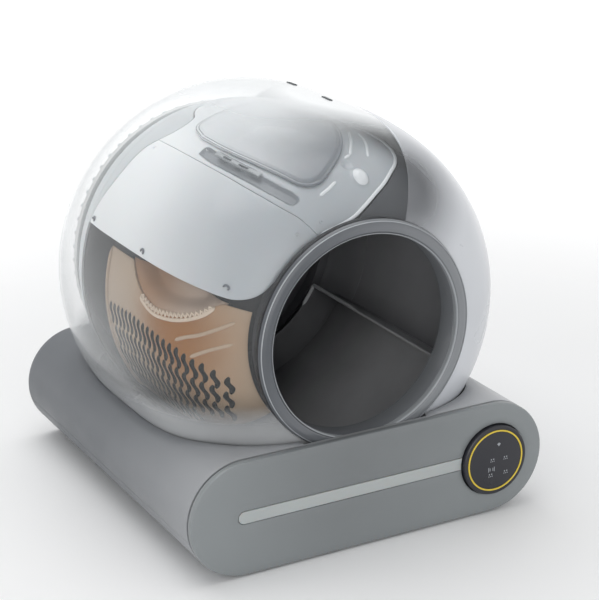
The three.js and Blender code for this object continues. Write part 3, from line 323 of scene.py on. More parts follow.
@dataclass(frozen=True)
class Bulge:
    """Radius of a bulged body of revolution against its place along the axis."""

    radius: float
    front_reach: float
    rear_reach: float
    widest_y: float = 31 * MM
    front_power: float = 3.6
    rear_power: float = 2.83

    def radius_at(self, y: Array | float) -> Array:
        """Gives the radius at a place along the axis.

        Args:
            y: The place.

        Returns:
            The radius there.
        """
        off = np.asarray(y, float) - self.widest_y
        reach = np.where(off < 0, self.front_reach, self.rear_reach)
        power = np.where(off < 0, self.front_power, self.rear_power)
        return self.radius * np.clip(1 - np.abs(off / reach) ** power, 0, 1) ** (1 / power)

    def y_at(self, radius: Array | float, front: bool) -> Array:
        """Gives the place in front of or behind the widest ring that has a radius.

        Args:
            radius: The radius.
            front: Whether the place lies in front.

        Returns:
            The place along the axis.
        """
        reach, power = -self.front_reach, self.front_power
        if not front:
            reach, power = self.rear_reach, self.rear_power
        share = np.clip(1 - (np.asarray(radius, float) / self.radius) ** power, 0, 1)
        return self.widest_y + reach * share ** (1 / power)

    def profile(self, front_y: float, rear_y: float, steps: int = 90) -> Array:
        """Follows the outline, with more steps where it curves most.

        Args:
            front_y: Where it starts.
            rear_y: Where it ends.
            steps: How many points lie on each side of the widest ring.

        Returns:
            Points of (radius, y).
        """
        ys = []
        for reach, power, end in ((-self.front_reach, self.front_power, front_y),
                                  (self.rear_reach, self.rear_power, rear_y)):
            start = math.acos(min(1.0, (end - self.widest_y) / reach) ** (power / 2))
            turn = np.linspace(start, math.pi / 2, steps)
            if end == rear_y:
                turn = np.linspace(math.pi / 2, start, steps)[1:]
            ys.append(self.widest_y + reach * np.clip(np.cos(turn), 0, 1) ** (2 / power))
        ys = np.concatenate(ys)
        return np.column_stack([self.radius_at(ys), ys])


class Skin:
    """A surface turned about the drum's axis, with flat places (angle x widest radius, length)."""

    def __init__(self, profile: Array) -> None:
        """Measures a profile.

        Args:
            profile: Points of (radius, y) that run from front to rear.
        """
        self.profile = even(profile, PROFILE_STEP)
        self.widest = float(self.profile[:, 0].max())
        self.length = np.r_[0.0, np.cumsum(np.linalg.norm(np.diff(self.profile, axis=0), axis=1))]
        tangent = np.gradient(self.profile, self.length, axis=0)
        normal = np.column_stack([tangent[:, 1], -tangent[:, 0]])
        self.normal = normal / np.linalg.norm(normal, axis=1, keepdims=True)

    def flat(self, table: Table) -> Array:
        """Gives the flat places of a table.

        Args:
            table: Rows of (degrees from the top, y in millimetres).

        Returns:
            The flat places.
        """
        degrees, ys = np.asarray(table, float).T
        along = np.interp(ys * MM, self.profile[:, 1], self.length)
        return np.column_stack([np.radians(degrees) * self.widest, along])

    def outline(self, *parts: Table | Sequence[float], spacing: float = 3 * MM) -> Array:
        """Joins curves and corners, in degrees and y in millimetres, into a closed outline."""
        return trace([self.flat(run) for run in closed(*parts)], spacing)

    def along(self, table: Table, spacing: float) -> Array:
        """Gives even steps on a smooth line through the places of a table."""
        return even(smoothed(self.flat(table)), spacing)

    def radius_on(self, along: Array | float) -> Array:
        """Gives the radius at a length along the profile."""
        return np.interp(along, self.length, self.profile[:, 0])

    def place(self, flat: Array, depth: Array | float = 0.0) -> Array:
        """Gives points in space.

        Args:
            flat: Flat places.
            depth: How far below the surface they lie.

        Returns:
            The points.
        """
        turn, along = flat[..., 0] / self.widest, flat[..., 1]
        r, y, out, back = (np.interp(along, self.length, column)
                           for column in (*self.profile.T, *self.normal.T))
        r, y = r - depth * out, y - depth * back
        return np.stack([r * np.sin(turn), y, AXIS_Z + r * np.cos(turn)], -1)


@dataclass(frozen=True)
class RoundedEnds:
    """A low box with half-round ends along Y, with flat places (way round from the top, y)."""

    radius: float
    half_run: float
    middle_z: float

    @property
    def around(self) -> float:
        """The whole way round."""
        return 4 * self.half_run + 2 * math.pi * self.radius

    def way_down_to(self, z: float) -> float:
        """The way round from the top middle to a height on the right end."""
        return self.half_run + self.radius * math.acos((z - self.middle_z) / self.radius)

    def place(self, flat: Array, depth: Array | float = 0.0) -> Array:
        """Gives points in space.

        Args:
            flat: Flat places.
            depth: How far below the surface they lie.

        Returns:
            The points.
        """
        half = self.around / 2
        way = (flat[..., 0] + half) % self.around - half
        side, far = np.sign(way), np.abs(way)
        angle = np.clip((far - self.half_run) / self.radius, 0.0, math.pi)
        under = np.clip(far - self.half_run - math.pi * self.radius, 0.0, None)
        over = np.clip(far, 0.0, self.half_run)
        r = self.radius - depth
        x = side * (over - under + r * np.sin(angle))
        return np.stack([x, flat[..., 1], self.middle_z + r * np.cos(angle)], -1)


@dataclass(frozen=True)
class Flat:
    """A plane. Flat places run along its two edges, and depth runs against its normal."""

    origin: Place
    across: Place
    up: Place

    def place(self, flat: Array, depth: Array | float = 0.0) -> Array:
        """Gives points in space.

        Args:
            flat: Flat places.
            depth: How far below the plane they lie.

        Returns:
            The points.
        """
        across, up = np.array(self.across), np.array(self.up)
        normal = np.cross(across, up)
        deep = np.broadcast_to(np.asarray(depth, float), flat.shape[:-1])[..., None]
        return np.array(self.origin) + flat[..., :1] * across + flat[..., 1:] * up - deep * normal


def front_plane(y: float) -> Flat:
    """The plane at y that looks forward, with flat places (x, z)."""
    return Flat((0, y, 0), (1, 0, 0), (0, 0, 1))


# Shapes


class Shape:
    """Points and faces of one piece, gathered from one or more closed bodies."""

    def __init__(self) -> None:
        """Starts with nothing."""
        self.points: list[Array] = []
        self.faces: list[tuple[int, ...]] = []
        self.finishes: list[int] = []
        self.count = 0

    def add(self, points: Array, faces: Iterable[Sequence[int]], finish: int = 0) -> None:
        """Adds a body.

        Args:
            points: Its points.
            faces: Its faces, counted from its own first point.
            finish: The place of its material on the piece.
        """
        new = [tuple(int(i) + self.count for i in face) for face in faces]
        self.points.append(points)
        self.faces += new
        self.finishes += [finish] * len(new)
        self.count += len(points)

    def panel(
        self,
        surface: Surface,
        outline: Array,
        thickness: float,
        holes: Sequence[Array] = (),
        lift: float = 0.0,
        edge: float = 0.8 * MM,
        spacing: float = 4 * MM,
        relief: Optional[Callable[[Array], Array]] = None,
        finish: int = 0,
        inner_finish: Optional[int] = None,
    ) -> None:
        """Adds a plate that follows a surface, with rounded edges all round.

        Args:
            surface: What the plate lies on.
            outline: Its closed outline, in the surface's flat places.
            thickness: How far it goes inwards.
            holes: Closed outlines of the holes through it.
            lift: How far its outer face stands above the surface.
            edge: The radius of its rounded edges.
            spacing: The size of its triangles.
            relief: Gives how far the outer face rises at flat places.
            finish: The place of its material on the piece.
            inner_finish: The same for its inner face and the walls of its holes, if it differs.
        """
        loops = [turning_left(outline), *(turning_left(hole, left=False) for hole in holes)]
        flat, triangles, marks = filled([moved_left(loop, edge) for loop in loops], spacing)

        def laid(places: Array, depth: float) -> Array:
            """Gives the points at a depth below the outer face."""
            rise = relief(places) if relief else 0.0
            return surface.place(places, depth - lift - rise)

        count = len(flat)
        points = [laid(flat, 0.0), laid(flat, thickness)]
        faces = [tuple(t) for t in triangles] + [tuple(t[::-1] + count) for t in triangles]
        total = 2 * count
        low = 1 - math.sqrt(0.5)
        steps = ((low, low * edge), (0.0, edge), (0.0, thickness - edge),
                 (low, thickness - low * edge))
        rim_end = 0
        for loop, mark in zip(loops, marks):
            inner = flat[mark]
            rings = [mark]
            for share, depth in steps:
                points.append(laid(loop + (inner - loop) * share, depth))
                rings.append(np.arange(len(loop)) + total)
                total += len(loop)
            rings.append(mark + count)
            for upper, under in zip(rings, rings[1:]):
                faces += zip(upper, under, np.roll(under, -1), np.roll(upper, -1))
            rim_end = rim_end or len(faces)
        first = len(self.finishes)
        self.add(np.vstack(points), faces, finish)
        if inner_finish is not None:
            for start, end in ((len(triangles), 2 * len(triangles)), (rim_end, len(faces))):
                self.finishes[first + start:first + end] = [inner_finish] * (end - start)

    def sheet(self, surface: Surface, grid: Array, thickness: float, edge: float) -> None:
        """Adds a shell over a grid of flat places.

        Args:
            surface: What it lies on.
            grid: Rows and columns of flat places.
            thickness: How far it goes inwards.
            edge: How far its border is lowered.
        """
        depth = np.zeros(grid.shape[:2])
        depth[[0, -1], :] = edge
        depth[:, [0, -1]] = edge
        outer, inner = surface.place(grid, depth), surface.place(grid, thickness - depth)
        rows, columns = grid.shape[:2]
        index = np.arange(rows * columns).reshape(rows, columns)
        quads = np.stack([index[:-1, :-1], index[1:, :-1], index[1:, 1:], index[:-1, 1:]], -1)
        rim = np.r_[index[0, :-1], index[:-1, -1], index[-1, :0:-1], index[:0:-1, 0]]
        faces = [tuple(q) for q in quads.reshape(-1, 4)]
        faces += [tuple(q[::-1] + index.size) for q in quads.reshape(-1, 4)]
        ahead = np.roll(rim, -1)
        faces += zip(rim, ahead, ahead + index.size, rim + index.size)
        self.add(np.vstack([outer.reshape(-1, 3), inner.reshape(-1, 3)]), faces)

    def turned(self, profile: Table, at: Matrix, steps: int = 96, soften: float = 0.0,
               finish: int = 0) -> None:
        """Adds a closed profile of (radius, height) points turned about an axis.

        Args:
            profile: The section, a closed loop.
            at: Carries the local Z axis to the axis of the turned body.
            steps: How many facets go round.
            soften: The radius that its corners are rounded to.
            finish: The place of its material on the piece.
        """
        section = rounded(np.asarray(profile, float), soften)
        angles = np.linspace(0, 2 * math.pi, steps, endpoint=False)
        radius, height = section.T
        local = np.stack([
            np.outer(np.cos(angles), radius), np.outer(np.sin(angles), radius),
            np.broadcast_to(height, (steps, len(section))), np.ones((steps, len(section))),
        ], -1)
        points = (local.reshape(-1, 4) @ np.array(at).T)[:, :3]
        index = np.arange(steps * len(section)).reshape(steps, -1)
        after, around = np.roll(index, -1, 1), np.roll(index, -1, 0)
        both = np.roll(after, -1, 0)
        self.add(points, np.stack([index, after, both, around], -1).reshape(-1, 4), finish)

    def swept(self, path: Array, radius: float, sides: int = 10, flat: float = 1.0,
              finish: int = 0) -> None:
        """Adds a round bar along a path, its ends drawn in to a point.

        Args:
            path: The middle of the bar.
            radius: Its radius.
            sides: How many facets go round.
            flat: Its height as a share of its width.
            finish: The place of its material on the piece.
        """
        along = np.gradient(path, axis=0)
        along /= np.linalg.norm(along, axis=1, keepdims=True)
        out = path - np.array([0, 0, AXIS_Z])
        out = out - np.sum(out * along, axis=1, keepdims=True) * along
        out /= np.linalg.norm(out, axis=1, keepdims=True)
        side = np.cross(along, out)
        ends = np.minimum(1.0, np.sqrt(np.arange(len(path)) / 2.0 + 0.02))
        size = radius * np.minimum(ends, ends[::-1])[:, None, None]
        angles = np.linspace(0, 2 * math.pi, sides, endpoint=False)[None, :, None]
        ring = np.cos(angles) * side[:, None] + flat * np.sin(angles) * out[:, None]
        points = (path[:, None] + size * ring).reshape(-1, 3)
        index = np.arange(len(points)).reshape(len(path), sides)
        after = np.roll(index, -1, 1)
        faces = np.stack([index[:-1], index[1:], after[1:], after[:-1]], -1)
        faces = faces.reshape(-1, 4).tolist()
        self.add(points, [*faces, tuple(index[0]), tuple(index[-1][::-1])], finish)

    def build(self, name: str, sharp_degrees: float = 32.0) -> bpy.types.Object:
        """Makes the object, with smooth shading except at sharp corners.

        Args:
            name: Its name.
            sharp_degrees: From which angle a corner is sharp.

        Returns:
            The object.
        """
        mesh = bpy.data.meshes.new(name)
        mesh.from_pydata(np.vstack(self.points).tolist(), [], self.faces)
        mesh.polygons.foreach_set("material_index", self.finishes)
        work = bmesh.new()
        work.from_mesh(mesh)
        bmesh.ops.remove_doubles(work, verts=work.verts, dist=WELD)
        bmesh.ops.recalc_face_normals(work, faces=work.faces)
        work.to_mesh(mesh)
        work.free()
        mesh.shade_smooth()
        mesh.set_sharp_from_angle(angle=math.radians(sharp_degrees))
        made = bpy.data.objects.new(name, mesh)
        bpy.context.scene.collection.objects.link(made)
        return made


def rounded(section: Array, radius: float, steps: int = 3) -> Array:
    """Rounds the corners of a closed section, except where it touches its axis.

    Args:
        section: Points of (radius, height).
        radius: How far from a corner its rounding starts.
        steps: How many steps a corner has.

    Returns:
        The rounded section.
    """
    if radius <= 0:
        return section
    points = []
    for before, corner, after in zip(np.roll(section, 1, 0), section, np.roll(section, -1, 0)):
        sides = before - corner, after - corner
        reach = min(radius, *(np.linalg.norm(side) * 0.45 for side in sides))
        if corner[0] < WELD or reach < WELD:
            points.append(corner)
            continue
        start, end = (corner + side / np.linalg.norm(side) * reach for side in sides)
        for t in np.linspace(0, 1, steps + 1):
            points.append((1 - t) ** 2 * start + 2 * t * (1 - t) * corner + t ** 2 * end)
    return np.array(points)


def about_y(x: float = 0.0, z: float = AXIS_Z) -> Matrix:
    """Carries the local Z axis to a line along Y through (x, z)."""
    turn = Matrix(((1, 0, 0), (0, 0, 1), (0, -1, 0))).to_4x4()
    return Matrix.Translation((x, 0, z)) @ turn


def about_z(x: float, y: float) -> Matrix:
    """Carries the local Z axis to an upright line through (x, y)."""
    return Matrix.Translation((x, y, 0))


def standing_on(surface: Surface, flat: Array, lift: float = 0.0) -> Matrix:
    """Stands something on a surface.

    Args:
        surface: The surface.
        flat: The place on it.
        lift: How far above it the thing stands.

    Returns:
        What carries the local origin there, with Z along the surface's normal.
    """
    base = Vector(surface.place(flat, -lift))
    out = (Vector(surface.place(flat, -lift - MM)) - base).normalized()
    return Matrix.Translation(base) @ out.to_track_quat("Z", "Y").to_matrix().to_4x4()


def arc(middle: Sequence[float], radius: float, start: float, end: float, steps: int) -> Array:
    """Gives points on a circle.

    Args:
        middle: Its middle.
        radius: Its radius.
        start: The angle of the first point.
        end: The angle of the last point.
        steps: How many points there are.

    Returns:
        The points, one per row.
    """
    turn = np.linspace(start, end, steps)
    x, y = middle
    return np.column_stack([x + radius * np.cos(turn), y + radius * np.sin(turn)])


def ring_outline(x: float, z: float, radius: float, spacing: float = 2 * MM) -> Array:
    """Gives a circle as a closed outline."""
    steps = max(24, math.ceil(2 * math.pi * radius / spacing))
    return arc((x, z), radius, 0, 2 * math.pi, steps + 1)[:-1]


# Materials

CLOUD = (0.3, 0.7)
SHARE = (0.0, 1.0)


def shade(red: float, green: float, blue: float) -> Colour:
    """Turns a colour into linear light.

    Args:
        red: Its red, on the usual 0 to 255 scale.
        green: Its green.
        blue: Its blue.

    Returns:
        The colour, opaque.
    """
    linear = (((c / 255 + 0.055) / 1.055) ** 2.4 if c > 10 else c / 255 / 12.92
              for c in (red, green, blue))
    return (*linear, 1.0)


def scaled(colour: Colour, factor: float) -> Colour:
    """Makes a colour lighter or darker."""
    return tuple(min(1.0, c * factor) for c in colour[:3]) + (1.0,)


class NodeKit:
    """The node tree of one material, with the patterns that the finishes share."""

    def __init__(self, name: str) -> None:
        """Starts a material with one shader.

        Args:
            name: The material's name.
        """
        self.material = bpy.data.materials.new(name)
        self.material.use_nodes = True
        self.tree = self.material.node_tree
        self.tree.nodes.clear()
        self.shader = self.node("BsdfPrincipled")
        self.node("OutputMaterial", {0: self.shader.outputs[0]})
        self.where = self.node("TexCoord").outputs["Object"]

    def join(self, source: object, socket: Socket) -> None:
        """Feeds a socket.

        Args:
            source: Another socket, or a plain value that it is set to.
            socket: The socket.
        """
        if isinstance(source, Socket):
            self.tree.links.new(source, socket)
        else:
            socket.default_value = source

    def node(self, kind: str, feeds: Optional[dict[str | int, object]] = None,
             **options: object) -> bpy.types.Node:
        """Adds a node.

        Args:
            kind: Its type, without the leading ShaderNode.
            feeds: What its sockets get, by their names or numbers.
            options: Its other settings.

        Returns:
            The node.
        """
        made = self.tree.nodes.new(f"ShaderNode{kind}")
        for option, value in options.items():
            setattr(made, option, value)
        for socket, source in (feeds or {}).items():
            self.join(source, made.inputs[socket])
        return made

    def hold(self, **constants: object) -> None:
        """Sets sockets of the shader to fixed values, with underscores for spaces."""
        for socket, value in constants.items():
            self.shader.inputs[socket.replace("_", " ")].default_value = value

    def drive(self, socket: str, source: Socket) -> None:
        """Feeds one of the shader's sockets."""
        self.join(source, self.shader.inputs[socket])

    def stretched(self, scale: Place) -> Socket:
        """Gives the place on the piece, scaled along each axis."""
        return self.node("Mapping", {"Vector": self.where, "Scale": scale}).outputs[0]

    def noise(self, scale: float, detail: float = 2.0, where: Optional[Socket] = None) -> Socket:
        """Gives a cloudy pattern from 0 to 1."""
        feeds = {"Vector": where or self.where, "Scale": scale, "Detail": detail}
        return self.node("TexNoise", feeds).outputs[0]

    def remap(self, value: Socket, source: tuple[float, float],
              target: tuple[float, float] = SHARE, smooth: bool = False) -> Socket:
        """Moves a value from one range to another and holds it there.

        Args:
            value: The value.
            source: The range that it comes from.
            target: The range that it goes to.
            smooth: Whether it starts and ends gently.

        Returns:
            The value in its new range.
        """
        kind = "SMOOTHSTEP" if smooth else "LINEAR"
        feeds = dict(enumerate((value, *source, *target)))
        return self.node("MapRange", feeds, interpolation_type=kind).outputs[0]

    def maths(self, operation: str, *values: object) -> Socket:
        """Works out a sum, a product or another step on numbers."""
        return self.node("Math", dict(enumerate(values)), operation=operation).outputs[0]

    def blend(self, share: Socket, first: object, second: object) -> Socket:
        """Mixes two colours by a share."""
        return self.node("Mix", {0: share, 6: first, 7: second}, data_type="RGBA").outputs[2]

    def axis(self, letter: str) -> Socket:
        """Gives one coordinate of the place on the piece."""
        return self.node("SeparateXYZ", {0: self.where}).outputs[letter]

    def from_point(self, point: Place) -> Socket:
        """Gives the distance from a fixed point of the piece."""
        made = self.node("VectorMath", {0: self.where, 1: point}, operation="DISTANCE")
        return made.outputs["Value"]

    def unsteady(self, value: Socket, scale: float, detail: float, reach: float) -> Socket:
        """Adds a cloudy drift of a given reach to a value."""
        return self.maths("ADD", value, self.maths("MULTIPLY", self.noise(scale, detail), reach))

    def bump(self, height: Socket, distance: float, strength: float = 1.0) -> None:
        """Makes the surface rise with a height pattern."""
        made = self.node("Bump", {"Strength": strength, "Distance": distance, "Height": height})
        self.drive("Normal", made.outputs[0])

    def mottled(self, colour: Colour, drift: float, scale: float = 9.0) -> Socket:
        """Gives a colour that drifts slowly lighter and darker across the piece."""
        share = self.remap(self.noise(scale, 4.0), CLOUD)
        return self.blend(share, scaled(colour, 1 - drift), scaled(colour, 1 + drift))

    def rough(self, pattern: Socket, low: float, high: float) -> None:
        """Lets the roughness follow a pattern."""
        self.drive("Roughness", self.remap(pattern, CLOUD, (low, high)))

    def grained(self, roughness: float, grain: float, scale: float) -> None:
        """Adds a fine moulded grain and a slow drift of the gloss."""
        self.rough(self.noise(14.0, 3.0), roughness * 0.88, min(1.0, roughness * 1.14))
        self.bump(self.noise(scale), grain)


@dataclass(frozen=True)
class Finish:
    """A finish in one main colour."""

    colour: Colour

    def paint(self, kit: NodeKit) -> None:
        """Adds the nodes of the finish."""
        kit.hold(Base_Color=self.colour)

    def material(self, name: str) -> bpy.types.Material:
        """Makes the material.

        Args:
            name: Its name.

        Returns:
            The material.
        """
        kit = NodeKit(name)
        self.paint(kit)
        return kit.material


@dataclass(frozen=True)
class MouldedPlastic(Finish):
    """Moulded plastic with a fine grain and a slow drift of colour and gloss."""

    roughness: float = 0.5
    drift: float = 0.05
    grain: float = 0.12 * MM
    scale: float = 900.0
    coat: float = 0.0
    soft: float = 0.0

    def tone(self, kit: NodeKit) -> Socket:
        """Gives the colour all over the piece."""
        return kit.mottled(self.colour, self.drift)

    def paint(self, kit: NodeKit) -> None:
        """Adds the colour, the coat, the depth and the grain.

        Args:
            kit: The material's node tree.
        """
        kit.hold(Coat_Weight=self.coat, Coat_Roughness=0.12, Subsurface_Weight=self.soft,
                 Subsurface_Scale=8 * MM)
        kit.drive("Base Color", self.tone(kit))
        kit.grained(self.roughness, self.grain, self.scale)


@dataclass(frozen=True)
class FadingPlastic(MouldedPlastic):
    """Moulded plastic that turns to a second colour with the distance from one point."""

    second: Colour = (0.5, 0.5, 0.5, 1.0)
    centre: Place = (0.0, 0.0, 0.0)
    near: float = 0.03
    far: float = 0.3

    def tone(self, kit: NodeKit) -> Socket:
        """Gives the colour all over the piece.

        Args:
            kit: The material's node tree.

        Returns:
            The colour.
        """
        away = kit.unsteady(kit.from_point(self.centre), scale=11.0, detail=3.0, reach=0.03)
        share = kit.remap(away, (self.near, self.far), smooth=True)
        return kit.blend(share, kit.mottled(self.colour, self.drift), self.second)


@dataclass(frozen=True)
class ClearPlastic(Finish):
    """Clear plastic, faint face on and milky at its outline and its lower edge, with a milky
    painted highlight near one point and over its crown.
    """

    face: float = 0.05
    rim: float = 0.95
    power: float = 2.0
    frost_z: tuple[float, float] = (0.0, -0.1)
    frost: float = 0.9
    low_colour: Optional[Colour] = None
    fade_above: float = 0.06
    painted_glow: float = 0.0
    painted_glow_place: Place = (0.0, 0.0, 0.0)
    painted_glow_span: tuple[float, float] = (0.03, 0.13)
    painted_crown_z: tuple[float, float] = (0.508, 0.56)
    painted_crown_share: float = 0.6
    roughness: float = 0.16

    def paint(self, kit: NodeKit) -> None:
        """Adds the coat, the milky places as alpha with the painted highlight among them, the
        colour and a slight unevenness.

        Args:
            kit: The material's node tree.
        """
        kit.hold(Coat_Weight=0.6, Coat_Roughness=0.08)
        facing = kit.node("LayerWeight").outputs["Facing"]
        haze = kit.remap(kit.maths("POWER", facing, self.power), SHARE, (self.face, self.rim))
        height = kit.unsteady(kit.axis("Z"), scale=3.0, detail=1.0, reach=0.012)
        frost = kit.remap(height, self.frost_z, (0.0, self.frost), smooth=True)
        # Painted highlight: alpha turns milky white near one point at the top and over the crown,
        # where light falls brightest.
        away = kit.unsteady(kit.from_point(self.painted_glow_place), scale=7.0, detail=2.0, reach=0.02)
        painted_glow = kit.remap(away, self.painted_glow_span, (self.painted_glow, 0.0), smooth=True)
        crown = kit.remap(height, self.painted_crown_z, (0.0, self.painted_glow * self.painted_crown_share), smooth=True)
        painted_highlight = kit.maths("ADD", painted_glow, crown)
        milk = kit.maths("ADD", kit.maths("MAXIMUM", haze, frost), painted_highlight)
        kit.drive("Alpha", kit.maths("MINIMUM", milk, 1.0))
        top, full = self.frost_z
        fade = kit.remap(height, (top + self.fade_above, full), smooth=True)
        low = self.low_colour or self.colour
        kit.drive("Base Color", kit.blend(fade, kit.mottled(self.colour, drift=0.03), low))
        kit.rough(kit.noise(12.0, detail=3.0), self.roughness, self.roughness * 1.5)
        kit.bump(kit.noise(5.0, detail=1.0), 0.4 * MM, strength=0.3)


@dataclass(frozen=True)
class FrostedPlastic(Finish):
    """White plastic that is see-through round one point and fades to solid away from it."""

    centre: Place
    near: float
    far: float
    clearest: float
    roughness: float = 0.3

    def paint(self, kit: NodeKit) -> None:
        """Adds the coat, the clear place as alpha, the colour and the grain.

        Args:
            kit: The material's node tree.
        """
        kit.hold(Coat_Weight=0.35, Coat_Roughness=0.2)
        away = kit.unsteady(kit.from_point(self.centre), scale=6.0, detail=2.0, reach=0.02)
        span, clear = (self.near, self.far), (self.clearest, 1.0)
        kit.drive("Alpha", kit.remap(away, span, clear, smooth=True))
        kit.drive("Base Color", kit.mottled(self.colour, drift=0.03, scale=5.0))
        kit.grained(self.roughness, grain=0.05 * MM, scale=700.0)


@dataclass(frozen=True)
class BrushedMetal(Finish):
    """Metal with fine lines along Y."""

    roughness: float = 0.35

    def paint(self, kit: NodeKit) -> None:
        """Adds the metal, its colour and its lines.

        Args:
            kit: The material's node tree.
        """
        kit.hold(Metallic=1.0)
        lines = kit.noise(60.0, detail=3.0, where=kit.stretched((18.0, 1.0, 18.0)))
        kit.drive("Base Color", kit.mottled(self.colour, drift=0.08, scale=30.0))
        kit.rough(lines, self.roughness * 0.8, self.roughness * 1.3)
        kit.bump(lines, 0.06 * MM)


@dataclass(frozen=True)
class PaintedGlowRing(Finish):
    """A thin ring of gold colour, made to shine by a painted emission though it is no lamp."""

    painted_glow: float = 0.15

    def paint(self, kit: NodeKit) -> None:
        """Adds the metal, its painted emission and its grain.

        Args:
            kit: The material's node tree.
        """
        # The emission is painted light: the trim shines though it is no lamp.
        kit.hold(Metallic=0.35, Emission_Color=self.colour, Emission_Strength=self.painted_glow)
        kit.drive("Base Color", kit.mottled(self.colour, drift=0.08, scale=40.0))
        kit.grained(0.3, grain=0.03 * MM, scale=1200.0)


@dataclass(frozen=True)
class CircuitBoard(Finish):
    """A green board with paler tracks."""

    def paint(self, kit: NodeKit) -> None:
        """Adds the board, its tracks and its grain.

        Args:
            kit: The material's node tree.
        """
        feeds = {"Vector": kit.where, "Scale": 90.0, "Color1": self.colour,
                 "Color2": scaled(self.colour, 0.85), "Mortar": shade(120, 150, 90)}
        tracks = kit.node("TexBrick", feeds, offset=0.35, squash=1.6)
        kit.drive("Base Color", tracks.outputs["Color"])
        kit.grained(0.4, grain=0.08 * MM, scale=800.0)


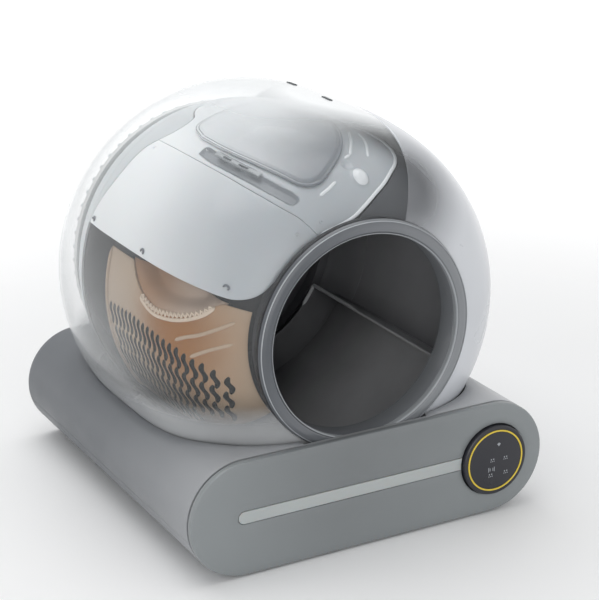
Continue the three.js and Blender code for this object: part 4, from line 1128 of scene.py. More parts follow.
FINISHES: dict[str, Finish] = {
    # base_grey: darker at the rear left and paler towards the front right, painted shade and
    # light.
    "base_grey": FadingPlastic(shade(96, 100, 105), 0.42, second=shade(192, 194, 197),
                               centre=(-0.27, 0.27, 0.08), near=0.2, far=0.9, coat=0.1),
    # front_grey: darker at the top middle under the globe, painted shade.
    "front_grey": FadingPlastic(shade(118, 122, 124), 0.4, second=shade(136, 141, 143),
                                centre=(-0.02, -0.27, 0.16), near=0.04, far=0.26, coat=0.15),
    "inner_grey": MouldedPlastic(shade(96, 100, 103), 0.6),
    "screw_steel": BrushedMetal(shade(160, 162, 164)),
    "black_plastic": MouldedPlastic(shade(30, 31, 34), 0.5),
    "motor_metal": BrushedMetal(shade(140, 141, 140), 0.4),
    "board_green": CircuitBoard(shade(30, 92, 56)),
    # globe_clear: painted_glow whitens the top of the globe near one point and over its crown, a
    # painted highlight.
    "globe_clear": ClearPlastic(shade(238, 241, 243), face=0.03, rim=1.0, power=4.8,
                                frost_z=(0.225, 0.145), frost=0.88,
                                low_colour=shade(204, 206, 208), painted_glow=0.75,
                                painted_glow_place=(0.085, -0.05, 0.52)),
    "globe_white": FrostedPlastic(shade(210, 213, 218), centre=(0.074, -0.222, 0.456),
                                  near=0.034, far=0.125, clearest=0.14),
    "latch_grey": MouldedPlastic(shade(58, 62, 66), 0.4),
    # collar_grey: darker at the upper left and paler to the right, painted shade.
    "collar_grey": FadingPlastic(shade(78, 82, 88), 0.34, second=shade(134, 137, 141),
                                 centre=(-0.13, -0.25, 0.33), near=0.06, far=0.34, coat=0.3),
    "collar_dark": MouldedPlastic(shade(30, 32, 36), 0.5),
    "gasket_rubber": MouldedPlastic(shade(168, 172, 176), 0.45, grain=0.05 * MM),
    "pod_black": MouldedPlastic(shade(34, 35, 42), 0.4, coat=0.1),
    "pod_glass": MouldedPlastic(shade(26, 27, 36), 0.3, 0.04, 0.02 * MM, scale=300.0, coat=0.25),
    "pod_gold": PaintedGlowRing(shade(216, 190, 70), 0.12),
    "foot_rubber": MouldedPlastic(shade(38, 39, 41), 0.85, grain=0.2 * MM),
    "cell_aluminium": BrushedMetal(shade(190, 192, 195), 0.3),
    "strip_diffuser": MouldedPlastic(shade(176, 181, 181), 0.5, 0.02, 0.05 * MM, soft=0.15),
    "bin_grey": MouldedPlastic(shade(74, 78, 82), 0.5),
    "drum_grey": MouldedPlastic(shade(58, 61, 66), 0.48, 0.07),
    "drum_clear": ClearPlastic(shade(224, 227, 228), face=0.015, rim=0.35, power=5.0,
                               frost_z=(0.195, 0.13), frost=0.36),
    "drum_pale": MouldedPlastic(shade(196, 202, 205), 0.4, soft=0.1),
    # hood_white: darker towards the front of the hood, painted shade; its own white is the far
    # colour.
    "hood_white": FadingPlastic(shade(166, 172, 177), 0.34, 0.02, 0.05 * MM, coat=0.2, soft=0.1,
                                second=shade(232, 235, 237), centre=(-0.03, -0.3, 0.42),
                                near=0.15, far=0.4),
    # A paler copy of the hood white for the bead, the ribs and the boss caps: a painted highlight
    # on raised parts.
    "hood_raised_highlight": MouldedPlastic(shade(216, 220, 223), 0.3, 0.02, 0.03 * MM, coat=0.3),
    # A darker grey laid in the basin: painted shade in the recess.
    "hood_basin_painted_shade": MouldedPlastic(shade(138, 143, 148), 0.4, 0.05),
    # Darker towards the door's front right: painted shade on the white plate.
    "door_painted_shade": FadingPlastic(shade(108, 114, 121), 0.32, 0.02, 0.05 * MM, coat=0.3, soft=0.1,
                                second=shade(214, 218, 221), centre=(0.06, -0.25, 0.44),
                                near=0.1, far=0.32),
    # Dark grey of the hooks, and of the thin lines on the door plate and the catch bar, which are
    # painted shade.
    "hook_grey_and_shadow_line": MouldedPlastic(shade(104, 109, 115), 0.5),
    "clip_grey": MouldedPlastic(shade(158, 163, 166), 0.35),
    "sieve_beige": FadingPlastic(shade(158, 102, 38), 0.5, 0.06, second=shade(188, 164, 138),
                                 centre=(-0.2, -0.13, 0.285), near=0.03, far=0.14),
    "sieve_lip": MouldedPlastic(shade(226, 208, 188), 0.4, 0.04),
    # A paler copy of the sieve beige for the ridges: a painted highlight streak on real ridges.
    "sieve_ridge_highlight": MouldedPlastic(shade(196, 172, 148), 0.45, 0.04),
    "sieve_shadow": MouldedPlastic(shade(36, 33, 31), 0.7),
    # liner_rim: a paler rim on the liner, a painted highlight where light catches its edge.
    "liner_rim": MouldedPlastic(shade(176, 178, 180), 0.45, 0.05),
    # liner_dark: pale near the front right of the bowl and dark further in, painted light and
    # shade.
    "liner_dark": FadingPlastic(shade(204, 205, 207), 0.5, 0.08, 0.2 * MM,
                                second=shade(50, 51, 54), centre=(0.14, -0.1, 0.12),
                                near=0.08, far=0.3),
    "bearing_white": MouldedPlastic(shade(210, 212, 212), 0.3),
    "roller_rubber": MouldedPlastic(shade(52, 54, 56), 0.8),
    "pocket_brown": FadingPlastic(shade(172, 130, 94), 0.55, 0.08, second=shade(206, 184, 166),
                                  centre=(-0.21, -0.04, 0.34), near=0.03, far=0.13),
    "mark_white": MouldedPlastic(shade(160, 164, 170), 0.4, 0.02),
    # Bright near the entry and dark deep inside the drum: painted light and shade.
    "drum_inside_painted_light": FadingPlastic(shade(184, 185, 188), 0.5, 0.06, second=shade(62, 63, 67),
                                 centre=(0.17, -0.06, 0.26), near=0.08, far=0.32),
}
MADE: dict[str, bpy.types.Material] = {}
SLOTS = {part["node"]: part["material_slot"] for part in frame["record"]["subparts"]}


def finish_of(name: str) -> bpy.types.Material:
    """Gives a material.

    Args:
        name: The finish.

    Returns:
        Its material, made once.
    """
    if name not in MADE:
        MADE[name] = FINISHES[name].material(name)
    return MADE[name]


def mount(shape: Shape, name: str, body: Body, slot: str, nodes: Sequence[str] = (),
          finishes: Sequence[str] = ()) -> None:
    """Builds a new piece, dresses it and lets it ride on its body and stand for its nodes.

    Args:
        shape: Its shape.
        name: Its name.
        body: What it rides on.
        slot: The record's material slot, also its finish where no other is named.
        nodes: The CAD nodes that it stands for.
        finishes: Its finishes, where they differ from the slot.
    """
    made = shape.build(name)
    for finish in finishes or (slot,):
        made.data.materials.append(finish_of(finish))
    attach(made, body.value)
    if nodes:
        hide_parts(*nodes)
    LOG.info("%s rides on %s, %d faces", name, body.value, len(made.data.polygons))


def dress(*nodes: str, finish: str = "") -> None:
    """Gives CAD nodes that keep their own shape a finish.

    Args:
        nodes: The nodes.
        finish: The finish, where it isn't the one of their slot.
    """
    for name in nodes:
        slot = finish or SLOTS[name]
        node = frame["nodes"][name]
        node.data.materials.clear()
        node.data.materials.append(finish_of(slot))
        LOG.info("%s keeps its shape in %s", name, slot)


# Sub-assemblies, and first what several of them share

GLOBE = Bulge(262 * MM, 286 * MM, 250 * MM)
DRUM = Bulge(234 * MM, 275 * MM, 232 * MM)
DRUM_MOUTH_Y = -230 * MM
DRUM_STEP_Y = 188 * MM
DRUM_SKIN = Skin(DRUM.profile(DRUM_MOUTH_Y, DRUM_STEP_Y))
ENDS = RoundedEnds(76.75 * MM, 183.25 * MM, 79.25 * MM)
POD_X, POD_Z = 183.2 * MM, 77.8 * MM
WALL = 3 * MM
SEAM = 0.4 * MM
ROUND = 160  # facets of a large ring


@dataclass
class BaseHousing:
    """The tray, the deck with the globe's hole, the feet and what is closed inside."""

    front_y: float = -259.2 * MM
    rear_y: float = 271.5 * MM
    wall: float = 3.2 * MM
    split_z: float = 58 * MM
    hole_reach: float = 0.32
    collar_radius: float = 152.4 * MM
    collar_front_y: float = -252.6 * MM
    trough_width: float = 15 * MM
    trough_depth: float = 3.4 * MM
    foot_x: float = 165 * MM
    foot_y: float = 205 * MM
    foot_pad: float = 16 * MM
    foot_stem: float = 5 * MM
    pad_height: float = 2.2 * MM
    foot_height: float = 6 * MM

    def build(self) -> None:
        """Builds the housing and dresses what it holds."""
        self.tray()
        self.deck()
        self.feet()
        dress("rear_cover", "front_frame", "globe_seat_ring", "rear_bulkhead",
              "drawer_rail_left", "drawer_rail_right", "power_inlet", "main_board", "home_sensor")
        dress(*(f"rear_cover_screw_{i}" for i in range(1, 5)))
        dress(*(f"load_cell_{place}" for place in self.foot_places()))

    def foot_places(self) -> dict[str, tuple[float, float]]:
        """Lays out the feet.

        Returns:
            Each foot's place on the floor, by its name.
        """
        return {f"{end}_{side}": (x, y)
                for end, y in (("front", -self.foot_y), ("rear", self.foot_y))
                for side, x in (("left", -self.foot_x), ("right", self.foot_x))}

    def tray(self) -> None:
        """The lower shell, from the parting line round the bottom."""
        start = ENDS.way_down_to(self.split_z)
        corners = rectangle(start, ENDS.around - start, self.front_y, self.rear_y)
        shape = Shape()
        shape.panel(ENDS, trace(closed(*corners), 6 * MM), self.wall, spacing=8 * MM,
                    edge=0.7 * MM)
        mount(shape, "tray_shell", Body.BASE, "base_grey", ["base_tray"])

    def hole(self) -> Array:
        """Draws the hole in the deck, where the globe and the entry collar pass.

        Returns:
            Its outline, in the deck's flat places.
        """
        ways = np.linspace(-self.hole_reach, self.hole_reach, 2401)
        x, _, z = ENDS.place(np.column_stack([ways, np.zeros_like(ways)])).T
        radius = np.hypot(x, z - AXIS_Z)
        bulge = Bulge(GLOBE.radius + SEAM, GLOBE.front_reach + SEAM, GLOBE.rear_reach + SEAM)
        kept = radius <= bulge.radius
        ways, radius = ways[kept], radius[kept]
        front, rear = bulge.y_at(radius, True), bulge.y_at(radius, False)
        front = np.where(radius < self.collar_radius, self.collar_front_y, front)
        near, far = np.column_stack([ways, front]), np.column_stack([ways, rear])[::-1]
        return trace([even(near, 3 * MM), even(far, 3 * MM)])

    def deck(self) -> None:
        """The upper shell, sunk a little all round the globe."""
        end = ENDS.way_down_to(self.split_z + SEAM)
        hole = self.hole()
        ring = np.vstack([hole, hole[:1]])[::2]

        def sunk(flat: Array) -> Array:
            """How far the deck drops beside the globe."""
            return -self.trough_depth * (1 - eased(distance_to(flat, ring) / self.trough_width))

        outline = trace(closed(*rectangle(-end, end, self.front_y, self.rear_y)), 5 * MM)
        shape = Shape()
        shape.panel(ENDS, outline, self.wall, [hole], edge=0.25 * MM, spacing=5 * MM, relief=sunk)
        mount(shape, "deck_shell", Body.BASE, "base_grey", ["base_deck"])

    def feet(self) -> None:
        """Four rubber feet, each with a rounded pad and a stem."""
        pad, stem, top = self.foot_pad, self.foot_stem, self.foot_height
        for name, (x, y) in self.foot_places().items():
            shape = Shape()
            shape.turned([(0, 0), (pad, 0), (pad, self.pad_height), (stem, self.pad_height),
                          (stem, top), (0, top)], about_z(x, y), steps=40, soften=0.5 * MM)
            mount(shape, f"foot_pad_{name}", Body.BASE, "foot_rubber", [f"foot_{name}"])


@dataclass
class Globe:
    """The fixed outer globe in two halves, its latches, the entry collar and its lip."""

    rear_y: float = 277.8 * MM
    opening: float = 152.4 * MM
    cut_z: float = 131 * MM
    border: float = 0.8 * MM
    seam_degrees: float = 23.0
    rows: int = 96
    columns: int = 92
    collar_radius: float = 152 * MM
    collar_front_y: float = -252.2 * MM
    collar_rear_y: float = -213 * MM
    side_front: float = -245 * MM
    entry: float = 133.5 * MM
    tube: float = 136.8 * MM
    lip: float = 1.6 * MM
    lip_gap: float = 0.3 * MM
    band_depth: float = 16 * MM
    face_depth: float = 9 * MM
    seat_step: float = 1.9 * MM
    side_wall: float = 1.3 * MM
    line_inset: float = 3 * MM
    line_width: float = 0.9 * MM
    latch_lift: float = 1.2 * MM
    latch_ys: tuple[float, ...] = (50.0, -46.0)
    latch_turn: tuple[float, float] = (12.4, 13.6)
    latch_half: float = 10.0

    def build(self) -> None:
        """Builds both halves, the latches and the entry."""
        front_y = float(GLOBE.y_at(self.opening, front=True))
        profile = GLOBE.profile(front_y, self.rear_y)
        skin = Skin(np.vstack([profile, [(1.2 * MM, self.rear_y)]]))
        for name, left, kind in (("globe_left", True, "clear"), ("globe_right", False, "white")):
            shape = Shape()
            shape.sheet(skin, self.half(skin, left), WALL, self.border)
            mount(shape, name, Body.BASE, f"globe_{kind}", [f"globe_{kind}_half"])
        for index, y in enumerate(self.latch_ys, 1):
            ends = y - self.latch_half, y + self.latch_half
            outline = skin.outline(*rectangle(*self.latch_turn, *ends), spacing=1.5 * MM)
            latch = Shape()
            latch.panel(skin, outline, WALL, lift=self.latch_lift, edge=0.5 * MM,
                        spacing=2 * MM)
            mount(latch, f"seam_latch_{index}", Body.BASE, "latch_grey",
                  [f"globe_seam_latch_{index}"])
        self.collar()

    def half(self, skin: Skin, left: bool) -> Array:
        """Lays out one half, from its front opening to the rear pole.

        Args:
            skin: The globe's skin.
            left: Whether it is the left half.

        Returns:
            A grid of flat places.
        """
        end, edge = skin.length[-1], self.border
        along = np.r_[0, edge, np.linspace(0, end, self.rows)[1:-1], end - edge, end]
        radius = skin.radius_on(along)
        gap = np.minimum(SEAM / 2 / radius, 0.2)
        drop = (self.cut_z - AXIS_Z) / np.maximum(radius, AXIS_Z - self.cut_z)
        low = np.minimum(np.arccos(drop), math.pi - gap)
        seam = math.radians(self.seam_degrees)
        start, stop = (-low, seam - gap) if left else (seam + gap, low)
        share = np.r_[0, 0.002, np.linspace(0, 1, self.columns)[1:-1], 0.998, 1]
        turn = start[:, None] + (stop - start)[:, None] * share
        return np.stack([turn * skin.widest, np.broadcast_to(along[:, None], turn.shape)], -1)

    def collar(self) -> None:
        """The rounded band in front of the globe, the tube into the drum and the pale lip."""
        front, rear, lip = self.collar_front_y, self.collar_rear_y, self.lip
        band_rear, face = front + self.band_depth, front + self.face_depth
        seat, out = self.entry + self.seat_step, self.collar_radius
        shape = Shape()
        shape.turned([
            (self.entry, rear), (self.entry, face), (seat, face), (seat, front + lip),
            (seat + lip, front), (out - 7.5 * MM, front), (out - 2.2 * MM, front + 2.2 * MM),
            (out, front + 6.5 * MM), (out - 1 * MM, self.side_front), (out - 1 * MM, band_rear),
            (out - 5 * MM, band_rear), (out - 5 * MM, face), (self.tube, face), (self.tube, rear),
        ], about_y(), ROUND, soften=1.4 * MM)
        side = rectangle(out - self.side_wall, out, self.side_front, band_rear)
        shape.turned(side, about_y(), ROUND, soften=0.2 * MM, finish=1)
        inner, deep = out - self.line_inset, front + 3 * MM
        outer = inner + self.line_width
        shape.turned([(inner, front + 1.0 * MM), (outer, front + 1.4 * MM), (outer, deep),
                      (inner, deep)], about_y(), ROUND, soften=0.15 * MM, finish=2)
        mount(shape, "entry_ring", Body.BASE, "collar_grey", ["entry_collar"],
              ["collar_grey", "collar_dark", "gasket_rubber"])
        edge, seated = Shape(), face - self.lip_gap
        edge.turned([(self.entry, seated), (self.entry, front + lip), (self.entry + lip, front),
                     (self.entry + lip, seated)], about_y(), ROUND, soften=0.5 * MM)
        mount(edge, "entry_lip", Body.BASE, "gasket_rubber", ["entry_gasket"])


# The middles of the touch marks and the corners of the diamond: x and z in millimetres.
TOUCH_PLACES = ((178.4, 77.1), (199.2, 76.8), (200.1, 56.2), (176.0, 55.9))
DIAMOND = ((187.9, 97.3), (190.7, 100.6), (187.9, 102.6), (185.1, 100.6))
WAVE_PLACE = (177.2, 65.8)


@dataclass
class ControlPod:
    """The round touch disc beside the drawer's light strip, fixed to the base."""

    radius: float = 48.5 * MM
    stem: float = 45.1 * MM
    bore: float = 37.5 * MM
    front_y: float = -277.8 * MM
    depth: float = 52.6 * MM
    rear_wall: float = 3.2 * MM
    ring: float = 41.9 * MM
    ring_width: float = 2.2 * MM
    ring_gap: float = 0.3 * MM
    rim_depth: float = 2.4 * MM
    flange_depth: float = 18.3 * MM
    steps: int = 120

    def build(self) -> None:
        """Builds the housing, the glass, the ring and the marks."""
        axis, front = about_y(POD_X, POD_Z), self.front_y
        rim, flange, rear = (front + deep
                             for deep in (self.rim_depth, self.flange_depth, self.depth))
        bottom = rear - self.rear_wall
        body = Shape()
        body.turned([(self.bore, rim), (self.radius, rim), (self.radius, flange),
                     (self.stem, flange), (self.stem, rear), (0, rear), (0, bottom),
                     (self.bore, bottom)], axis, self.steps, soften=1.0 * MM)
        mount(body, "pod_body", Body.BASE, "pod_black", ["pod_housing"])
        half = self.ring_width / 2
        inner, outer = self.ring - half - self.ring_gap, self.ring + half + self.ring_gap
        top, low, groove = front + 0.6 * MM, front + 2.1 * MM, front + 1.6 * MM
        glass = Shape()
        glass.turned([(0, low), (0, top), (inner, top), (inner, groove), (outer, groove),
                      (outer, top), (self.radius - 1.2 * MM, top), (self.radius, top + 0.9 * MM),
                      (self.radius, low)], axis, self.steps, soften=0.3 * MM)
        mount(glass, "pod_front", Body.BASE, "pod_glass", ["pod_glass"])
        ring = Shape()
        ring.turned(rectangle(self.ring - half, self.ring + half, front, front + 1.3 * MM), axis,
                    self.steps, soften=0.5 * MM)
        mount(ring, "pod_ring", Body.BASE, "pod_gold", ["pod_gold_ring"])
        dress("pod_board")
        self.marks(top)

    def marks(self, face_y: float) -> None:
        """Small plain touch marks: a diamond, dots, bars and a double wave.

        Args:
            face_y: Where the glass lies.
        """
        shape = Shape()
        plane = front_plane(face_y)

        def spot(outline: Array) -> None:
            """Adds one thin mark."""
            shape.panel(plane, outline, 0.3 * MM, lift=0.12 * MM, edge=0.05 * MM, spacing=1 * MM)

        def bar(x: float, z: float, wide: float, high: float) -> None:
            """Adds a rectangular mark, in millimetres."""
            left, low, half_x, half_z = x * MM, z * MM, wide / 2 * MM, high / 2 * MM
            spot(np.array(rectangle(left - half_x, left + half_x, low - half_z, low + half_z)))

        spot(np.array(DIAMOND) * MM)
        for x, z in TOUCH_PLACES:
            for step in (-2.6, 0.0, 2.6):
                spot(ring_outline((x + step) * MM, z * MM, 0.75 * MM, 0.4 * MM))
            bar(x - 1.8, z + 3.0, 1.6, 1.9)
            bar(x + 1.8, z + 3.0, 1.6, 1.9)
        x, z = WAVE_PLACE
        for side in (-1, 1):
            for reach in (2.2, 4.4):
                bar(x + side * reach, z, 1.0, 2.2 + reach)
        mount(shape, "pod_marks", Body.BASE, "pod_glass", finishes=["mark_white"])


@dataclass
class WasteDrawer:
    """The front panel with its light strip, and the bin behind it."""

    front_y: float = -271.5 * MM
    thickness: float = 10 * MM
    pod_hole: float = 49.5 * MM
    pod_gap: float = 0.6 * MM
    strip_left_x: float = -194.3 * MM
    strip_low_z: float = 73.0 * MM
    strip_half: float = 8.25 * MM
    strip_depth: float = 9 * MM
    strip_gap: float = 0.3 * MM

    def build(self) -> None:
        """Builds the panel and the strip, and dresses the bin."""
        plane = front_plane(self.front_y)
        panel = Shape()
        panel.panel(plane, self.face(), self.thickness, [self.opening(self.strip_gap)],
                    edge=2.4 * MM, spacing=8 * MM)
        mount(panel, "drawer_panel", Body.DRAWER, "front_grey", ["drawer_front"])
        strip = Shape()
        strip.panel(plane, self.strip(0.0, self.pod_hole + self.pod_gap), self.strip_depth,
                    edge=0.7 * MM, spacing=5 * MM, lift=-0.2 * MM)
        mount(strip, "drawer_strip", Body.DRAWER, "strip_diffuser", ["light_strip"])
        dress("waste_bin")

    def face(self) -> Array:
        """Draws the whole front, round at both ends.

        Returns:
            Its outline.
        """
        right = arc((ENDS.half_run, ENDS.middle_z), ENDS.radius, -math.pi / 2, math.pi / 2, 61)
        left = right[::-1] * [-1, 1]
        return trace(closed(even(right, 4 * MM), even(left, 4 * MM)), 4 * MM)

    def strip_end(self, grow: float, start: float, end: float) -> Array:
        """Gives the strip's half-round left end."""
        middle = (self.strip_left_x + self.strip_half, self.strip_low_z + self.strip_half)
        return arc(middle, self.strip_half + grow, start, end, 25)

    def strip(self, grow: float, circle: float) -> Array:
        """Draws the strip, round at the left and cut by a circle about the pod at the right.

        Args:
            grow: How much wider it is all round.
            circle: The circle's radius.

        Returns:
            Its outline.
        """
        left = self.strip_end(grow, math.pi / 2, math.pi * 1.5)
        middle, half = self.strip_low_z + self.strip_half, self.strip_half + grow
        heights = np.linspace(middle - half, middle + half, 9)
        right = np.column_stack([POD_X - np.sqrt(circle ** 2 - (heights - POD_Z) ** 2), heights])
        return trace(closed(even(left, 1.5 * MM), even(right, 1.5 * MM)), 1.5 * MM)

    def opening(self, grow: float) -> Array:
        """Draws the hole for the pod, joined with the strip's.

        Args:
            grow: How much wider than the strip it is.

        Returns:
            Its outline.
        """
        heights = self.strip(grow, self.pod_hole)[:, 1]
        low, high = heights.min() - POD_Z, heights.max() - POD_Z
        start = math.pi + math.asin(-high / self.pod_hole)
        end = -math.pi + math.asin(-low / self.pod_hole)
        circle = arc((POD_X, POD_Z), self.pod_hole, start, end, 90)
        left = self.strip_end(grow, math.pi * 1.5, math.pi / 2)
        return trace(closed(even(circle, 2 * MM), even(left, 1.5 * MM)), 2 * MM)


# Outlines, lines and places on the drum's skin: degrees from the top and y in millimetres.
HOOD_MOUTH = [(-69, -195), (-68.4, -210), (-66, -220), (-62, -225.5), (-55, -228.5),
              (-45, -229.6), (-35, -229.7), (-22.7, -229.7)]
HOOD_SEAM = [(-22.7, -229.7), (-25.7, -214), (-29, -195), (-31.7, -157), (-32.9, -100),
             (-33.2, -47), (-33.2, 20), (-33.2, 79.5)]
HOOD_LOW_BACK = [(-33.2, 79.5), (-37, 90), (-42.5, 96), (-48, 98), (-54, 104), (-60, 114),
                 (-65, 121), (-69, 123.8)]
HOOD_EDGE = [(-22.7, -229.7), (-10, -229.5), (-2, -227.5), (5, -222), (11, -214), (16.5, -203),
             (21, -188), (25.5, -168), (28.6, -140), (30.3, -100), (31, -50), (30.6, -5),
             (28.5, 35), (24, 65), (17, 84)]
HOOD_HIGH_BACK = [(17, 84), (10, 92), (2, 101), (-5, 108.5), (-10.5, 111.5), (-14, 107),
                  (-17, 92), (-19.5, 73), (-23, 66.5), (-28, 68), (-33.2, 79.5)]
HOOD_BASIN = [(-31.2, -25), (-31.9, -60), (-31.6, -100), (-30.6, -140), (-28.4, -178),
              (-24.6, -203), (-20.8, -200), (-23.6, -172), (-25.6, -140), (-26.6, -100),
              (-27.1, -60), (-27.4, -25), (-31.2, -25)]
HOOD_RIBS = ([(15.6, -98), (11.6, -132), (6.6, -164)], [(6.6, -164), (5.2, -167), (3.6, -170)],
             [(-13.4, -206), (-9.0, -203), (-4.6, -198)],
             [(19.5, -96), (17.6, -130), (13.5, -166)])
SHELL_EDGE = [(-2, -229.9), (1.5, -226.4), (6, -222.4), (11.6, -214.6), (17.2, -203.4),
              (21.6, -188), (26.1, -168), (29.1, -140), (30.8, -100), (31.4, -60)]
WINDOW_MOUTH = [(-52, -229.85), (-55, -229.1), (-62, -226.1), (-66, -220.9), (-68.6, -210.9),
                (-69.2, -195)]
REAR_EDGE = [(-69, 124.4), (-65, 121.6), (-60, 114.6), (-54, 104.6), (-48, 98.6), (-42.5, 96.6),
             (-36.8, 90.6), (-33, 80.2), (-28, 68.7), (-23, 67.2), (-19.9, 73.6), (-17.4, 92.5),
             (-14.4, 107.7), (-10.5, 112.2), (-4.8, 109.2), (2.2, 101.7), (10.2, 92.7),
             (17.2, 84.7), (24.4, 65.4), (29, 35.2), (31, 0)]
DOOR_OUTLINE = [(-26, 0), (-26.1, -60), (-25, -110), (-22, -160), (-17.5, -191), (-11, -196),
                (-3.6, -184), (3.2, -163), (8.4, -130), (12.5, -80), (13.6, -20), (12.5, 28),
                (6, 43), (-15, 43), (-23, 36)]
CATCH_LEFT = [(-29.0, -60), (-28.8, -90), (-28.1, -120), (-26.6, -150)]
CATCH_RIGHT = [(-24.9, -150), (-26.2, -120), (-26.9, -90), (-27.1, -60)]
SIEVE_MOUTH = [(-72, -191), (-73.5, -185), (-77.7, -172), (-81.4, -144), (-83.3, -108),
               (-83.4, -85), (-81.4, -58), (-77, -32), (-72, -14)]
SIEVE_RIDGES = ([(-91, -133), (-88.5, -152), (-86.3, -171), (-82, -192), (-78.1, -204)],
                [(-95.8, -156), (-92, -180), (-88, -204)])
HOOD_HOOKS = ((-67.2, 110), (-67.2, -53), (-65.0, -201))
# The hood's round bosses: degrees, y, reach and rise in millimetres.
HOOD_BOSSES = ((-10.0, 92, 15, 5.0), (6.0, -197, 17, 6.0), (2.8, -180, 10, -2.6))
# A screw head's section: radius and height in millimetres.
SCREW_HEAD = ((0, -0.4), (2.6, -0.4), (2.6, 1.1), (1.3, 1.1), (1.0, 0.3), (0, 0.3))
# The upper limit of the sieve's slots: y in millimetres and degrees.
SLOT_TOP = [(-196, -103), (-176, -97.5), (-156, -95.8), (-132, -93), (-79, -90.6),
            (-22, -89.5), (38, -90.5)]


def door_loop() -> Array:
    """Gives the port door's closed outline on the drum's skin."""
    return trace([DRUM_SKIN.flat([*DOOR_OUTLINE, DOOR_OUTLINE[0]])])


@dataclass
class Drum:
    """The turning drum: shell, window, hood, liner, rear and bearing rings."""

    gap: float = 0.4 * MM
    window_rear: float = 127.6
    window_low: float = -139.9
    window_front: float = -229.85
    shell_low: float = 219.9
    shell_front: float = -229.9
    mouth_radius: float = 139.5 * MM
    mouth_wall: float = 3.8 * MM
    mouth_depth: float = 17 * MM
    step_radius: float = 190 * MM
    rear_y: float = 212 * MM
    rear_wall: float = 7 * MM
    lining: float = 0.8 * MM
    dish_outer: float = 150 * MM
    dish_inner: float = 60 * MM
    dish_depth: float = 4 * MM
    lining_side: float = 0.2 * MM
    lining_gap: float = 0.3 * MM
    track_radius: float = 207 * MM
    track_front: float = 194 * MM
    track_rear: float = 203 * MM
    track_rim: float = 2 * MM
    track_groove: float = 0.6 * MM
    edge: float = 0.9 * MM
    bead: float = 2.4 * MM
    hook: float = 3.7 * MM
    port_inset: float = 9 * MM
    basin_depth: float = 6 * MM
    cap_inset: float = 4.5 * MM
    liner_lift: float = -4 * MM
    liner_rim: float = 165 * MM
    liner_rear_y: float = 147 * MM
    liner_front: float = -224
    liner_start: float = 118.0
    liner_end: float = 228.0
    bead_radius: float = 2.6 * MM
    bead_end: float = 20 * MM

    def build(self) -> None:
        """Builds the drum's pieces from the outside in."""
        self.hood_lower()
        self.hood_upper()
        self.shell()
        self.window()
        self.rear()
        self.track()
        self.liner()
        self.hooks()
        dress("front_bearing_ring", "home_magnet")
        # The chamber wall takes the painted light and shade of the drum's inside.
        dress("waste_chamber_wall", finish="drum_inside_painted_light")

    def hood_lower(self) -> None:
        """The lower hood panel, open towards the sieve, with its screws."""
        outline = DRUM_SKIN.outline(HOOD_MOUTH, HOOD_SEAM, HOOD_LOW_BACK)
        shape = Shape()
        shape.panel(DRUM_SKIN, grown(outline, -self.gap / 2), WALL, edge=self.edge)
        self.screws(shape, [(-36.2, 71), (-30.5, -221)])
        mount(shape, "hood_low", Body.DRUM, "hood_white", ["hood_lower_panel"])

    def screws(self, shape: Shape, places: Table) -> None:
        """Adds small screw heads with a sunk middle.

        Args:
            shape: The piece that they are on.
            places: Rows of (degrees from the top, y in millimetres).
        """
        for place in places:
            at = standing_on(DRUM_SKIN, DRUM_SKIN.flat([place])[0])
            shape.turned(np.array(SCREW_HEAD) * MM, at, steps=20, soften=0.3 * MM)

    def hooks(self) -> None:
        """Three small hooks over the lower edge of the hood."""
        for index, place in enumerate(HOOD_HOOKS, 1):
            middle = DRUM_SKIN.flat([place])[0]
            bend = arc(middle, self.hook, -0.75 * math.pi, 0.6 * math.pi, 15)
            hook = Shape()
            hook.swept(DRUM_SKIN.place(bend, -0.9 * MM), 1.3 * MM, 8)
            mount(hook, f"hood_hook_{index}", Body.DRUM, "clip_grey", [f"hood_clip_{index}"],
                  ["hook_grey_and_shadow_line"])

    def hood_upper(self) -> None:
        """The upper hood panel with the port, the basin, bosses, ribs and a beaded edge."""
        outline = DRUM_SKIN.outline(HOOD_EDGE, HOOD_HIGH_BACK, HOOD_SEAM[::-1])
        outline = grown(outline, -self.gap / 2)
        basin = DRUM_SKIN.outline(HOOD_BASIN)
        border = np.vstack([basin, basin[:1]])
        bosses = [(DRUM_SKIN.flat([(degrees, y)])[0], reach * MM, rise * MM)
                  for degrees, y, reach, rise in HOOD_BOSSES]

        def raised(flat: Array) -> Array:
            """Shapes the basin and the bosses.

            Args:
                flat: Flat places.

            Returns:
                How far the panel rises there.
            """
            deep = np.where(inside(flat, basin), distance_to(flat, border), 0)
            rise = -self.basin_depth * eased(deep / (5 * MM))
            for place, reach, high in bosses:
                off = np.linalg.norm(flat - place, axis=1)
                rise = rise + high * eased(1.3 * (1 - off / reach))
            return rise

        def skinned(patch: Array, spacing: float, finish: int) -> None:
            """Lays a thin patch of another finish over the panel."""
            shape.panel(DRUM_SKIN, patch, 0.5 * MM, lift=0.35 * MM, relief=raised,
                        edge=0.15 * MM, spacing=spacing, finish=finish)

        shape = Shape()
        shape.panel(DRUM_SKIN, outline, WALL, [grown(door_loop(), -self.port_inset)],
                    spacing=2.6 * MM, relief=raised, edge=self.edge)
        edge = smoothed(DRUM_SKIN.flat(HOOD_EDGE))
        both = np.vstack([edge, DRUM_SKIN.flat(HOOD_HIGH_BACK)])
        inset = moved_left(both, -self.bead)[:len(edge) - 2]
        middle = len(inset) // 2
        if not inside(inset[middle:middle + 1], outline)[0]:
            inset = 2 * edge[:len(inset)] - inset
        bead = DRUM_SKIN.place(even(inset, 4 * MM), -0.3 * MM)
